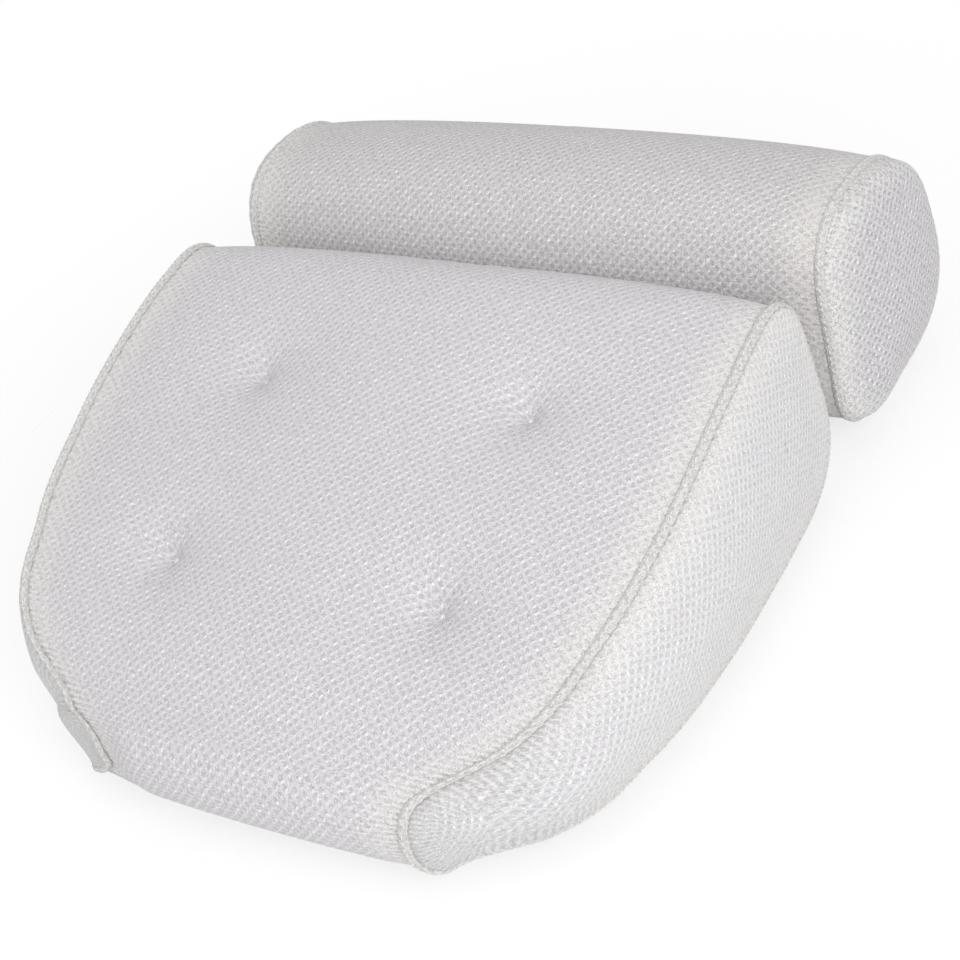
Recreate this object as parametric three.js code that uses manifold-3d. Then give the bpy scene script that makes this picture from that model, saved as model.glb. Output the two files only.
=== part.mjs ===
// Bath pillow: a wedge cushion with four sewn tufts, and a head roll that hinges along its back edge
// on a strip of the same mesh. Six suction cups button into webbing tabs under the two cushions.
// X runs across the pillow, Y from the front edge back to the head roll, and Z up. Millimetres.
import * as THREE from 'three';
import { mergeVertices } from 'three/addons/utils/BufferGeometryUtils.js';
import Module from 'manifold-3d';

const wasm = await Module();
wasm.setup();

// Driving dimensions.
const gap = 0.3; // clearance between pieces that touch
const skin = 4; // thickness of the knitted air mesh

const seam = {
  dip: 1.5, // how far a sewn edge is drawn in below the cushion's surface
  dipPower: 8, // how sharply the surface turns down into the seam
  allowance: 3.5, // flat edge of the cover beside the seam
  rim: 3, // thickness of a side panel at its sewn edge
  bead: 2.2, // radius of the bound seam
};

const wedge = {
  depth: 258,
  backHeight: 112,
  noseHeight: 40,
  noseBulge: 10,
  halfWidth: 170,
  noseHalfWidth: 98,
  baseFlare: 1, // the underside is this much wider than the top, on each side
  backRunOut: 5, // top back corner, behind the end of the depth
  backReach: 28, // length of the rounding on each side of that corner
  heelRunOut: 10, // bottom back corner, behind the end of the depth
  heelReach: 35,
  crown: 7.5,
  sideBulge: 14.5,
  noseBulgeShare: 0.55, // bulge of the side panels at the nose, over that of the rest
};
const depthShares = [0, 0.12, 0.3, 0.5, 0.75, 1];
const riseShares = [0, 0.25, 0.48, 0.68, 0.9, 1]; // height of the top line over the nose
const spreadShares = [0, 0.57, 0.86, 0.98, 1, 0.97]; // half width over the nose's
const noseDrawShare = 0.3; // narrowing in front of the nose line, for each millimetre forward
const heartInsetShares = [0.05, 0.83]; // ends of the line that the side panels bulge about
const frontStationShares = [0.1, 0.27, 0.5, 0.78, 1]; // from the nose line to the front tufts
const middleStationShares = [0.18, 0.38, 0.62, 0.82, 1]; // on to the back tufts
const backStationShares = [0.35, 0.7]; // on to the back corner
const innerColumnShares = [0, 0.45, 0.75, 1]; // from the middle out to the tufts
const outerColumnShares = [0.2, 0.5, 0.8, 1]; // from the tufts out to the seam

// The fullness of a stuffed cushion: how flat its middle is before it turns down to the seam.
const crownPower = 2.2;
const crownRunIn = 3; // points of the outline over which the crown grows at each end of the wrap
const panelRingShares = [0.14, 0.4, 0.75]; // rings of a side panel, from its seam to its heart
const bezierPull = 4 / 3; // a cubic curve's handles stand this much farther out than its bulge

const tuft = {
  x: 77,
  frontY: 77,
  backY: 175,
  depth: 12,
  reach: 19,
  thread: 0.7, // radius of the tie thread
  knot: 1.6, // radius of the knot at each end of it
};

const hinge = {
  space: 9, // between the wedge's heel and the roll's foot
  inset: 20, // from each side of the wedge
  strip: 1.6, // thickness of the hinge strip
  fold: 1.6, // radius of the sewn fold that the roll turns about
  sewn: 12, // length of strip under each cushion
};

const roll = {
  depth: 114,
  height: 116,
  inset: 3, // narrower than the wedge by this much on each side
  lean: 16, // the top of the flat front stands this far behind its foot
  backDrop: 10, // the back of the top is this much lower than its front
  backLean: 8,
  footReach: 20,
  frontReach: 44,
  backReach: 44,
  heelReach: 40,
  crown: 5.5,
  endBulge: 20,
};
const rollColumnShares = [0, 0.35, 0.65, 0.87, 1]; // from the middle out to the seam
const rollUnderShares = [0.35, 0.65];

const cup = {
  rim: 23,
  lip: 1.2,
  cavity: 4.5,
  height: 9, // from the rim to the underside of the tab
  boss: 7,
  neck: 3.5,
  head: 7,
  headThickness: 2.5,
  headBevel: 0.8,
};

const tab = {
  length: 54,
  width: 25,
  thickness: 1.2,
  bridge: 26, // length of the low middle that holds the cup's head
  ramp: 7,
  frontInset: 85, // of the front cups from each side of the wedge
  frontY: 38,
  backInset: 60,
  backMargin: 5, // between the rear tabs and the hinge strip
  rollInset: 67, // of the rear cups from each end of the roll
};

// Steps in which the curves are drawn.
const steps = {
  nose: 5,
  corner: 4,
  broadCorner: 5,
  bead: 6,
  knot: 3,
  thread: 8,
  fold: 8,
  cupWall: 3,
  cup: 16,
};

const tabUnderside = cup.height + gap;
const headUnderside = tabUnderside + tab.thickness + gap;
const lift = headUnderside + cup.headThickness + gap; // height of the cushions' undersides
const heelFoot = wedge.depth + wedge.heelRunOut;
const hingeY = heelFoot + hinge.space / 2;
const hingeZ = lift - gap - hinge.strip / 2;
const rollFront = heelFoot + hinge.space;
const rollHalfWidth = wedge.halfWidth - roll.inset;
const hingeHalfWidth = wedge.halfWidth - hinge.inset;

const colours = {
  mesh: 0xe8e7e6,
  sideMesh: 0xeeece8,
  binding: 0xe6e4df,
  filling: 0xf4f4f2,
  webbing: 0xdedcd6,
  thread: 0xf0f0ee,
  cup: 0xd3dadc,
};
const fabricRoughness = 0.9;
const cupRoughness = 0.25;

function material(color, roughness) {
  return new THREE.MeshStandardMaterial({ color, roughness, metalness: 0 });
}

// Table of shares read as a smooth line through its points.
function smoothLine(places, values) {
  const line = new THREE.CubicInterpolant(places, values, 1);
  return (place) => line.evaluate(Math.min(Math.max(place, places[0]), places.at(-1)))[0];
}

// Curve that rounds a corner, starting reach away from it on both sides.
function rounding(before, corner, after, reach, steps) {
  const start = before.clone().sub(corner).setLength(reach).add(corner);
  const end = after.clone().sub(corner).setLength(reach).add(corner);
  return new THREE.QuadraticBezierCurve(start, corner, end).getPoints(steps);
}

// Outward normal at each point of a closed outline in the YZ plane, kept as (y, z) pairs.
function outlineNormals(outline) {
  const count = outline.length;
  return outline.map((point, i) => {
    const along = outline[(i + 1) % count].clone().sub(outline[(i + count - 1) % count]).normalize();
    return new THREE.Vector2(-along.y, along.x);
  });
}

// Joins rings of points into a closed mesh. Without a first rung, the last ring is joined to the first
// ring. With one, both are closed by rungs across them, the first of them at that point of the ring.
function skinRings(rings, firstRung) {
  const count = rings[0].length;
  const positions = rings.flat().flatMap((p) => [p.x, p.y, p.z]);
  const faces = [];
  const at = (ring, i) => ring * count + ((i + count) % count);
  const bands = firstRung === undefined ? rings.length : rings.length - 1;
  for (let ring = 0; ring < bands; ring += 1) {
    const next = (ring + 1) % rings.length;
    for (let i = 0; i < count; i += 1) {
      faces.push(at(ring, i), at(ring, i + 1), at(next, i + 1));
      faces.push(at(ring, i), at(next, i + 1), at(next, i));
    }
  }
  const close = (ring, turned) => {
    const face = (...corners) => faces.push(...(turned ? corners.reverse() : corners));
    for (let i = 0; i < count / 2 - 1; i += 1) {
      const [up, down] = [firstRung + i, firstRung - 1 - i];
      face(at(ring, up), at(ring, up + 1), at(ring, down - 1));
      face(at(ring, up), at(ring, down - 1), at(ring, down));
    }
  };
  if (firstRung !== undefined) {
    close(0, true);
    close(rings.length - 1, false);
  }
  const geometry = new THREE.BufferGeometry();
  geometry.setAttribute('position', new THREE.Float32BufferAttribute(positions, 3));
  geometry.setIndex(faces);
  return facingOut(geometry);
}

// Turns every face of a closed mesh over if its volume comes out negative.
function facingOut(geometry) {
  const position = geometry.attributes.position;
  const index = geometry.index;
  const corner = (i) => new THREE.Vector3().fromBufferAttribute(position, index.getX(i));
  let volume = 0;
  for (let i = 0; i < index.count; i += 3) {
    volume += corner(i).dot(corner(i + 1).cross(corner(i + 2)));
  }
  if (volume < 0) geometry.setIndex([...index.array].reverse());
  return geometry;
}

// Closed geometry with shared vertices and positions only.
function merged(geometry) {
  const bare = geometry.clone();
  bare.deleteAttribute('normal');
  bare.deleteAttribute('uv');
  return facingOut(mergeVertices(bare));
}

function toSolid(geometry) {
  const { attributes, index } = merged(geometry);
  const mesh = new wasm.Mesh({
    numProp: attributes.position.itemSize,
    vertProperties: attributes.position.array,
    triVerts: Uint32Array.from(index.array),
  });
  return new wasm.Manifold(mesh);
}

function toGeometry(solid) {
  const mesh = solid.getMesh();
  const geometry = new THREE.BufferGeometry();
  geometry.setAttribute('position', new THREE.BufferAttribute(mesh.vertProperties, mesh.numProp));
  geometry.setIndex(new THREE.BufferAttribute(mesh.triVerts, 1));
  return geometry;
}

function cut(geometry, tools) {
  return toGeometry(tools.reduce((solid, tool) => solid.subtract(toSolid(tool)), toSolid(geometry)));
}

// Upright cylinder from one height to another.
function post(x, y, bottom, top, radius, sides) {
  const cylinder = new THREE.CylinderGeometry(radius, radius, top - bottom, sides);
  return cylinder.rotateX(Math.PI / 2).translate(x, y, (bottom + top) / 2);
}

// A cushion is an outline in the YZ plane, given a half width at every point of it. Its wrap covers
// the outline's points from 0 to heel, and its base panel the rest. Its sides are closed by rungs from
// the outline's point firstRung on one edge and the point before it on the other.
function makeCushion(plan) {
  const { outline, heel, firstRung, halfWidthAt, columnsAt, crown, bulgeAt, heartOf, dimple } = plan;
  const normals = outlineNormals(outline);
  const halfWidths = outline.map(halfWidthAt);
  const crownAt = (i) => {
    if (i > heel) return 0;
    return crown * THREE.MathUtils.smoothstep(Math.min(i, heel - i), 0, crownRunIn);
  };
  // Height of the cushion's surface over the outline.
  const rise = (i, x) => {
    const q = Math.min(1, Math.abs(x) / (halfWidths[i] - seam.allowance));
    return crownAt(i) * (1 - q ** crownPower) - seam.dip * q ** seam.dipPower - dimple(outline[i], x);
  };
  const surface = (i, x, inward, along = 0) => {
    const [p, n] = [outline[i], normals[i]];
    const out = rise(i, x) - inward;
    return new THREE.Vector3(x, p.x + n.x * out + along, p.y + n.y * out);
  };
  const row = (i, inward, along = 0) => columnsAt(halfWidths[i]).map((x) => surface(i, x, inward, along));
  const stripRing = (i, along = 0) => [...row(i, 0, along), ...row(i, skin, along).reverse()];
  const count = outline.length;

  const wrap = () => {
    const rings = [];
    for (let i = 0; i <= heel; i += 1) rings.push(stripRing(i));
    return skinRings(rings, 0);
  };
  const base = () => {
    const rings = [stripRing(heel, -gap)];
    for (let i = heel + 1; i < count; i += 1) rings.push(stripRing(i));
    rings.push(stripRing(0, gap));
    return skinRings(rings, 0);
  };

  // Ring of a side panel's outer or inner face, at a share of the way from the seam to the heart.
  const sideRing = (side, share, inward) => outline.map((p, i) => {
    const edge = p.clone().addScaledVector(normals[i], -seam.dip);
    const heart = heartOf(p);
    const place = edge.lerp(heart, share);
    const swell = (1 - (1 - share) ** crownPower) ** (1 / crownPower) * bulgeAt(p);
    const drawn = THREE.MathUtils.lerp(halfWidths[i], halfWidthAt(heart), share);
    const x = drawn + gap / 2 + Math.max(0, seam.rim + swell - inward);
    return new THREE.Vector3(side * x, place.x, place.y);
  });
  const reversed = (rings) => skinRings(rings.map((ring) => ring.reverse()), count - firstRung);
  // Facing pieces split their faces along the same diagonals, which keeps the gap between them even.
  const sidePanel = (side) => {
    const inner = [...panelRingShares].reverse().map((share) => sideRing(side, share, skin));
    inner.push(sideRing(side, 0, seam.rim));
    const outer = [0, ...panelRingShares].map((share) => sideRing(side, share, 0));
    const rings = [...inner, ...outer];
    return side > 0 ? skinRings(rings, firstRung) : reversed(rings);
  };
  const binding = (side) => {
    const apothem = seam.bead * Math.cos(Math.PI / steps.bead);
    const centre = gap + apothem - seam.dip;
    const rings = outline.map((p, i) => {
      const ring = [];
      for (let k = 0; k < steps.bead; k += 1) {
        const angle = (2 * Math.PI * k) / steps.bead;
        const out = centre + seam.bead * Math.sin(angle);
        const x = halfWidths[i] + seam.bead * Math.cos(angle);
        ring.push(new THREE.Vector3(side * x, p.x + normals[i].x * out, p.y + normals[i].y * out));
      }
      return ring;
    });
    return skinRings(rings);
  };
  // The filling stays one gap inside the covers all round.
  const filling = () => {
    const rows = outline.map((p, i) => row(i, skin + gap));
    const columns = rows[0].map((unused, j) => rows.map((points) => points[j]));
    const end = (side) => panelRingShares.map((share) => sideRing(side, share, skin).map((p) => {
      return p.setX(p.x - side * gap);
    }));
    return reversed([...end(-1).reverse(), ...columns, ...end(1)]);
  };
  return { surface, wrap, base, sidePanel, binding, filling };
}

// Positions across a cushion, the same on both sides of its middle.
function mirrored(right) {
  return [...right.slice(1).reverse().map((x) => -x), ...right];
}

// The wedge.
const riseAt = smoothLine(depthShares, riseShares);
const spreadAt = smoothLine(depthShares, spreadShares);

function wedgeTop(y) {
  return wedge.noseHeight + (wedge.backHeight - wedge.noseHeight) * riseAt(y / wedge.depth);
}

function wedgeHalfWidth(p) {
  const spread = (wedge.halfWidth - wedge.noseHalfWidth) * spreadAt(p.x / wedge.depth);
  const middle = wedgeTop(p.x) / 2;
  const low = THREE.MathUtils.clamp((middle - (p.y - lift)) / middle, 0, 1);
  return wedge.noseHalfWidth + spread + wedge.baseFlare * low + noseDrawShare * Math.min(p.x, 0);
}

// Places between two others, at shares of the way.
function between(from, to, shares) {
  return shares.map((share) => THREE.MathUtils.lerp(from, to, share));
}

function wedgeOutline() {
  const point = (y, z) => new THREE.Vector2(y, z + lift);
  const corner = point(wedge.depth + wedge.backRunOut, wedge.backHeight);
  const foot = point(heelFoot, 0);
  const cornerStart = corner.x - wedge.backReach;
  const front = point(0, 0);
  const brow = point(0, wedgeTop(0));
  const browSlope = (wedgeTop(wedge.noseBulge) - wedgeTop(0)) / wedge.noseBulge;
  const pull = wedge.noseBulge * bezierPull;
  const nose = new THREE.CubicBezierCurve(
    front,
    point(-pull, 0),
    point(-pull, wedgeTop(0) - browSlope * pull),
    brow,
  ).getPoints(steps.nose);
  const places = [
    ...between(0, tuft.frontY, frontStationShares),
    ...between(tuft.frontY, tuft.backY, middleStationShares),
    ...between(tuft.backY, cornerStart, backStationShares),
  ];
  const stations = places.map((y) => point(y, wedgeTop(y)));
  const back = rounding(stations.at(-1), corner, foot, wedge.backReach, steps.corner);
  const heelCurve = rounding(corner, foot, front, wedge.heelReach, steps.corner);
  const wrap = [...nose, ...stations, ...back, ...heelCurve];
  const under = [...places].reverse().map((y) => point(y, 0));
  return { outline: [...wrap, ...under], heel: wrap.length - 1, firstRung: nose.length / 2 };
}

const hands = [['left', -1], ['right', 1]];
const tufts = [['front', tuft.frontY], ['back', tuft.backY]].flatMap(([row, y]) => {
  return hands.map(([hand, side]) => ({ place: `${row}_${hand}`, x: side * tuft.x, y }));
});

// Depth of the pull of the four tufts at a point of the top line. The underside has none.
function wedgeDimple(p, x) {
  if (p.y < lift + wedge.noseHeight / 2) return 0;
  return tufts.reduce((sum, centre) => {
    const away = Math.hypot(x - centre.x, p.x - centre.y, p.y - lift - wedgeTop(centre.y));
    return sum + tuft.depth * Math.exp(-away / tuft.reach);
  }, 0);
}

function wedgeColumns(halfWidth) {
  const edge = halfWidth - seam.allowance;
  return mirrored([
    ...between(0, tuft.x, innerColumnShares),
    ...between(tuft.x, edge, outerColumnShares),
    halfWidth - gap / 2,
  ]);
}

// The side panels bulge less beside the nose than behind the front tufts.
function wedgeBulge(p) {
  const share = THREE.MathUtils.smoothstep(p.x, 0, tuft.frontY);
  return wedge.sideBulge * THREE.MathUtils.lerp(wedge.noseBulgeShare, 1, share);
}

const wedgeParts = makeCushion({
  ...wedgeOutline(),
  halfWidthAt: wedgeHalfWidth,
  columnsAt: wedgeColumns,
  crown: wedge.crown,
  bulgeAt: wedgeBulge,
  heartOf: (p) => {
    const [near, far] = heartInsetShares.map((share) => share * wedge.depth);
    const y = THREE.MathUtils.clamp(p.x, near, far);
    return new THREE.Vector2(y, lift + wedgeTop(y) / 2);
  },
  dimple: wedgeDimple,
});

// The head roll.
function rollOutline() {
  const point = (y, z) => new THREE.Vector2(rollFront + y, lift + z);
  const foot = point(0, 0);
  const brow = point(roll.lean, roll.height);
  const back = point(roll.depth - roll.backLean, roll.height - roll.backDrop);
  const heel = point(roll.depth, 0);
  const footCurve = rounding(heel, foot, brow, roll.footReach, steps.corner);
  const browCurve = rounding(foot, brow, back, roll.frontReach, steps.broadCorner);
  const backCurve = rounding(brow, back, heel, roll.backReach, steps.broadCorner);
  const heelCurve = rounding(back, heel, foot, roll.heelReach, steps.corner);
  const front = footCurve.at(-1).clone().add(browCurve[0]).divideScalar(2);
  const rear = backCurve.at(-1).clone().add(heelCurve[0]).divideScalar(2);
  const wrap = [...footCurve, front, ...browCurve, ...backCurve, rear, ...heelCurve];
  const underPlaces = between(heelCurve.at(-1).x, footCurve[0].x, rollUnderShares);
  const under = underPlaces.map((y) => new THREE.Vector2(y, lift));
  return { outline: [...wrap, ...under], heel: wrap.length - 1, firstRung: -1 };
}

const rollHeart = new THREE.Vector2(
  rollFront + (roll.depth + roll.lean / 2) / 2,
  lift + roll.height / 2,
);

const rollParts = makeCushion({
  ...rollOutline(),
  halfWidthAt: () => rollHalfWidth,
  columnsAt: (halfWidth) => mirrored([
    ...between(0, halfWidth - seam.allowance, rollColumnShares),
    halfWidth - gap / 2,
  ]),
  crown: roll.crown,
  bulgeAt: () => roll.endBulge,
  heartOf: () => rollHeart,
  dimple: () => 0,
});

// The cover's point at the bottom of a tuft's dimple, and how far above it a knot's middle stands to
// clear the faces around it.
function topOfTuft(centre) {
  const { outline } = wedgeOutline();
  const i = outline.findIndex((p) => p.x === centre.y && p.y > lift + wedge.noseHeight / 2);
  const columns = wedgeColumns(wedgeHalfWidth(outline[i]));
  const j = columns.findIndex((x) => Math.abs(x - centre.x) < gap);
  const at = (row, column) => {
    const x = wedgeColumns(wedgeHalfWidth(outline[row]))[column];
    return wedgeParts.surface(row, x, 0);
  };
  const floor = at(i, j);
  const around = [[0, 1], [1, 1], [1, 0], [1, -1], [0, -1], [-1, -1], [-1, 0], [-1, 1]];
  const spokes = around.map(([di, dj]) => at(i + di, j + dj).sub(floor));
  const uprightness = spokes.map((spoke, k) => {
    const normal = spoke.clone().cross(spokes[(k + 1) % spokes.length]).normalize();
    return Math.abs(normal.z);
  });
  return { floor, seat: (tuft.knot + gap) / Math.min(...uprightness) };
}

// A tuft's tie: a thread from a knot in the dimple, down through the wedge, to a knot underneath.
function tie(centre) {
  const { floor, seat } = topOfTuft(centre);
  const top = floor.z + seat;
  const bottom = lift - gap - tuft.knot;
  const ball = (height, from, to) => {
    const arc = new THREE.EllipseCurve(0, height, tuft.knot, tuft.knot, from, to);
    return arc.getPoints(steps.knot);
  };
  const throat = Math.asin(tuft.thread / tuft.knot);
  const quarter = Math.PI / 2;
  const profile = [
    ...ball(bottom, -quarter, quarter - throat),
    ...ball(top, throat - quarter, quarter),
  ];
  profile[0].x = 0;
  profile.at(-1).x = 0;
  const lathe = new THREE.LatheGeometry(profile, steps.thread);
  return lathe.rotateX(quarter).translate(floor.x, floor.y, 0);
}

const tieHoles = tufts.map((centre) => {
  const { floor } = topOfTuft(centre);
  return post(floor.x, floor.y, 0, floor.z + tuft.depth, tuft.thread + gap, steps.thread);
});

// Suction cup with its boss, neck and mushroom head, standing on its rim.
function suctionCup() {
  const inner = new THREE.QuadraticBezierCurve(
    new THREE.Vector2(0, cup.cavity),
    new THREE.Vector2(cup.rim / 2, cup.cavity),
    new THREE.Vector2(cup.rim - cup.lip, 0),
  ).getPoints(steps.cupWall);
  const outer = new THREE.QuadraticBezierCurve(
    new THREE.Vector2(cup.rim, cup.lip / 2),
    new THREE.Vector2(cup.rim - cup.boss, cup.cavity + cup.lip),
    new THREE.Vector2(cup.boss, cup.cavity + 2 * cup.lip),
  ).getPoints(steps.cupWall);
  const headTop = headUnderside + cup.headThickness;
  const profile = [
    ...inner,
    new THREE.Vector2(cup.rim, 0),
    ...outer,
    new THREE.Vector2(cup.boss, cup.height),
    new THREE.Vector2(cup.neck, cup.height),
    new THREE.Vector2(cup.neck, headUnderside),
    new THREE.Vector2(cup.head, headUnderside),
    new THREE.Vector2(cup.head, headTop - cup.headBevel),
    new THREE.Vector2(cup.neck, headTop),
    new THREE.Vector2(0, headTop),
  ];
  return new THREE.LatheGeometry(profile, steps.cup).rotateX(Math.PI / 2);
}

// Webbing tab: sewn flat at both ends, and bowed down in the middle, where its buttonhole holds a cup.
function webbingTab() {
  const sewn = lift - gap - tab.thickness;
  const low = tabUnderside;
  const under = [
    [tab.length / 2, sewn],
    [tab.bridge / 2 + tab.ramp, sewn],
    [tab.bridge / 2, low],
  ];
  const lower = [...under.map(([x, z]) => [-x, z]), ...[...under].reverse()];
  const upper = [...lower].reverse().map(([x, z]) => [x, z + tab.thickness]);
  const shape = new THREE.Shape([...lower, ...upper].map(([x, z]) => new THREE.Vector2(x, z)));
  const strap = new THREE.ExtrudeGeometry(shape, { depth: tab.width, bevelEnabled: false });
  strap.rotateX(Math.PI / 2).translate(0, tab.width / 2, 0);
  return cut(strap, [post(0, 0, 0, lift, cup.neck + gap, steps.cup)]);
}

// The hinge strip's two halves. The wedge's half stops short of the fold, and the roll's half has it.
const heelStart = heelFoot - wedge.heelReach;
const footStart = rollFront + roll.footReach;

function wedgeStrip() {
  const from = heelStart - hinge.sewn;
  const to = hingeY - hinge.fold - gap;
  const strip = new THREE.BoxGeometry(2 * hingeHalfWidth, to - from, hinge.strip);
  return strip.translate(0, (from + to) / 2, hingeZ);
}

function rollStrip() {
  const half = hinge.strip / 2;
  const reach = footStart + hinge.sewn - hingeY;
  const meet = Math.asin(half / (hinge.fold + gap));
  const shape = new THREE.Shape();
  shape.moveTo(reach, -half);
  shape.lineTo(reach, half);
  shape.absarc(0, 0, hinge.fold, meet, 2 * Math.PI - meet, false);
  const strip = new THREE.ExtrudeGeometry(shape, {
    depth: 2 * hingeHalfWidth,
    bevelEnabled: false,
    curveSegments: steps.fold,
  });
  const axes = new THREE.Matrix4().makeBasis(
    new THREE.Vector3(0, 1, 0),
    new THREE.Vector3(0, 0, 1),
    new THREE.Vector3(1, 0, 0),
  );
  return strip.applyMatrix4(axes).translate(-hingeHalfWidth, hingeY, hingeZ);
}

// Where the cups and their tabs stand.
const backTabY = heelStart - hinge.sewn - tab.backMargin - tab.width / 2;
const rollTabY = rollFront + roll.depth / 2;
const cupRows = [
  ['front', wedge.halfWidth - tab.frontInset, tab.frontY],
  ['back', wedge.halfWidth - tab.backInset, backTabY],
  ['roll', rollHalfWidth - tab.rollInset, rollTabY],
];
const cupPlaces = cupRows.flatMap(([row, x, y]) => hands.map(([hand, side]) => {
  return [`${row}_${hand}`, side * x, y];
}));

const pillow = new THREE.Group();

function add(name, geometry, color, roughness = fabricRoughness) {
  const mesh = new THREE.Mesh(geometry, material(color, roughness));
  mesh.name = name;
  pillow.add(mesh);
  return mesh;
}

add('wedge_top_cover', cut(wedgeParts.wrap(), tieHoles), colours.mesh);
add('wedge_base_panel', cut(wedgeParts.base(), tieHoles), colours.mesh);
add('wedge_filling', cut(wedgeParts.filling(), tieHoles), colours.filling);
add('roll_cover', rollParts.wrap(), colours.mesh);
add('roll_base_panel', rollParts.base(), colours.mesh);
add('roll_filling', rollParts.filling(), colours.filling);
for (const [hand, side] of hands) {
  add(`wedge_${hand}_side_panel`, wedgeParts.sidePanel(side), colours.sideMesh);
  add(`wedge_${hand}_seam_binding`, wedgeParts.binding(side), colours.binding);
  add(`roll_${hand}_end_panel`, rollParts.sidePanel(side), colours.sideMesh);
  add(`roll_${hand}_seam_binding`, rollParts.binding(side), colours.binding);
}
for (const centre of tufts) {
  add(`${centre.place}_tuft_tie`, tie(centre), colours.thread);
}
add('wedge_hinge_strip', wedgeStrip(), colours.webbing);
add('roll_hinge_strip', rollStrip(), colours.webbing);
for (const [place, x, y] of cupPlaces) {
  add(`${place}_tab`, webbingTab(), colours.webbing).position.set(x, y, 0);
  add(`${place}_suction_cup`, suctionCup(), colours.cup, cupRoughness).position.set(x, y, 0);
}

// The origin is the middle of the floor under the pillow.
const bounds = new THREE.Box3().setFromObject(pillow);
const middle = bounds.getCenter(new THREE.Vector3());
pillow.position.set(-middle.x, -middle.y, -bounds.min.z);

export default pillow;
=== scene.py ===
# %% [markdown]
# A bath pillow, dressed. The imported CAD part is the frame: it says where every cushion, cup and tab
# is, and which body each one moves with. This lesson builds what the eye sees on top of it: panels
# of knitted air mesh blown up by a cloth simulation, sewn edges, tufts, tapes and clear suction cups.

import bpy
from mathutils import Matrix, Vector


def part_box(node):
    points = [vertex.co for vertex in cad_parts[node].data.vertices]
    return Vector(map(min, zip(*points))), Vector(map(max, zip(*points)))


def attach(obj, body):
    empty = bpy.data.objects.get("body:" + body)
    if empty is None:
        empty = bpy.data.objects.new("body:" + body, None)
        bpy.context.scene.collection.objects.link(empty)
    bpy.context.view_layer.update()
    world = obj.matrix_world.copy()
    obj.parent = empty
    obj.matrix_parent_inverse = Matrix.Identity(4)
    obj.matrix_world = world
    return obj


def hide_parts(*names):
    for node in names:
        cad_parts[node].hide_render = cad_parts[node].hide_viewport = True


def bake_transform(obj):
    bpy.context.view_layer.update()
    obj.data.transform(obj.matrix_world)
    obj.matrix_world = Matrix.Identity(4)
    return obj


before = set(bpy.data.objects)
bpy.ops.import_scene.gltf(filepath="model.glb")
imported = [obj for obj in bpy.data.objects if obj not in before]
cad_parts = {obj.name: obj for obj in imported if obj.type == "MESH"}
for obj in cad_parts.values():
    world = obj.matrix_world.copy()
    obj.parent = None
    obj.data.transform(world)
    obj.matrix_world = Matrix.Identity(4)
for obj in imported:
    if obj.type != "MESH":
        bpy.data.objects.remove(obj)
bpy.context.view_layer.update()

# %% [markdown]
# The photograph looks down on the pillow from its front right corner, with a long lens and the
# camera leaning a little to one side. The camera could be placed by eye, but a fit of the CAD
# outline to the photographed seams gives its bearing, height, lean, distance and lens in one go.

# %% Camera
import math

import bpy
import numpy as np

MM = 0.001
SENSOR = 36.0
BEARING, HEIGHT, LEAN = math.radians(45.64), math.radians(39.0), math.radians(-23.24)
CAMERA_TARGET = np.array([0.0247, -0.0038, 0.0510])
CAMERA_DISTANCE = 1.050
CAMERA_LENS = 82.57


def aim_camera(target, distance, lens):
    """Places the camera on the line back from its target, and rolls it about that line."""
    back = np.array([
        math.sin(BEARING) * math.cos(HEIGHT),
        -math.cos(BEARING) * math.cos(HEIGHT),
        math.sin(HEIGHT),
    ])
    level = np.array([math.cos(BEARING), math.sin(BEARING), 0.0])
    upright = np.cross(back, level)
    across = math.cos(LEAN) * level + math.sin(LEAN) * upright
    up = math.cos(LEAN) * upright - math.sin(LEAN) * level
    data = bpy.data.cameras.new("camera")
    data.sensor_width = SENSOR
    data.lens = lens
    camera = bpy.data.objects.new("camera", data)
    bpy.context.scene.collection.objects.link(camera)
    matrix = np.eye(4)
    matrix[:3, 0], matrix[:3, 1], matrix[:3, 2] = across, up, back
    matrix[:3, 3] = target + back * distance
    camera.matrix_world = [list(row) for row in matrix.T]
    bpy.context.scene.camera = camera
    return camera


camera = aim_camera(CAMERA_TARGET, CAMERA_DISTANCE, CAMERA_LENS)
print("camera at", [round(value, 3) for value in camera.matrix_world.translation])

# %% [markdown]
# The cushions follow the same sizes as the CAD part, in millimetres, measured from the front edge of
# the wedge. The hinge strip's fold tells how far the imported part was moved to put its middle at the
# origin, so nothing here has to be typed twice. A few sizes are softer than the solid's: the corners
# and ends of a filled cover sag a little, as the photograph shows.
#
# A side panel's fullness says how steeply it rises beside its seam. It goes from the least value to
# the side's own value as the outline turns towards one direction.

# %% Sizes
HANDS = (("left", -1), ("right", 1))
LIFT = 13.6
FOLD_LINE, FOLD_RADIUS = 272.5, 1.6
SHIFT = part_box("roll_hinge_strip")[0].y / MM + FOLD_RADIUS - FOLD_LINE

WEDGE = {
    "depth": 258, "back_height": 112, "nose_height": 40, "nose_bulge": 10,
    "half_width": 170, "nose_half_width": 98, "base_flare": -0.2,
    "nose_flare": 6.0, "nose_flare_at": 6, "nose_flare_reach": 14, "nose_draw": 0.3,
    "back_run_out": 5, "back_reach": 28, "heel_run_out": 10, "heel_reach": 46,
    "crown": 7.5, "crown_slack": 2.0, "side_bulge": 13.0,
    "nose_share": 0.8, "nose_end": 25, "rear_share": 0.35, "rear_start": 120,
    "fullness": {-1: 1.35, 1: 2.3}, "least_fullness": 1.1, "full_toward": (0.0, 1.0),
    "knit_turn": 12.0, "binding_sink": -0.8,
}
DEPTH_SHARES = [0, 0.12, 0.3, 0.5, 0.75, 1]
RISE_SHARES = [0, 0.25, 0.48, 0.68, 0.9, 1]
SPREAD_SHARES = [0, 0.57, 0.86, 0.98, 1, 0.97]
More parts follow.
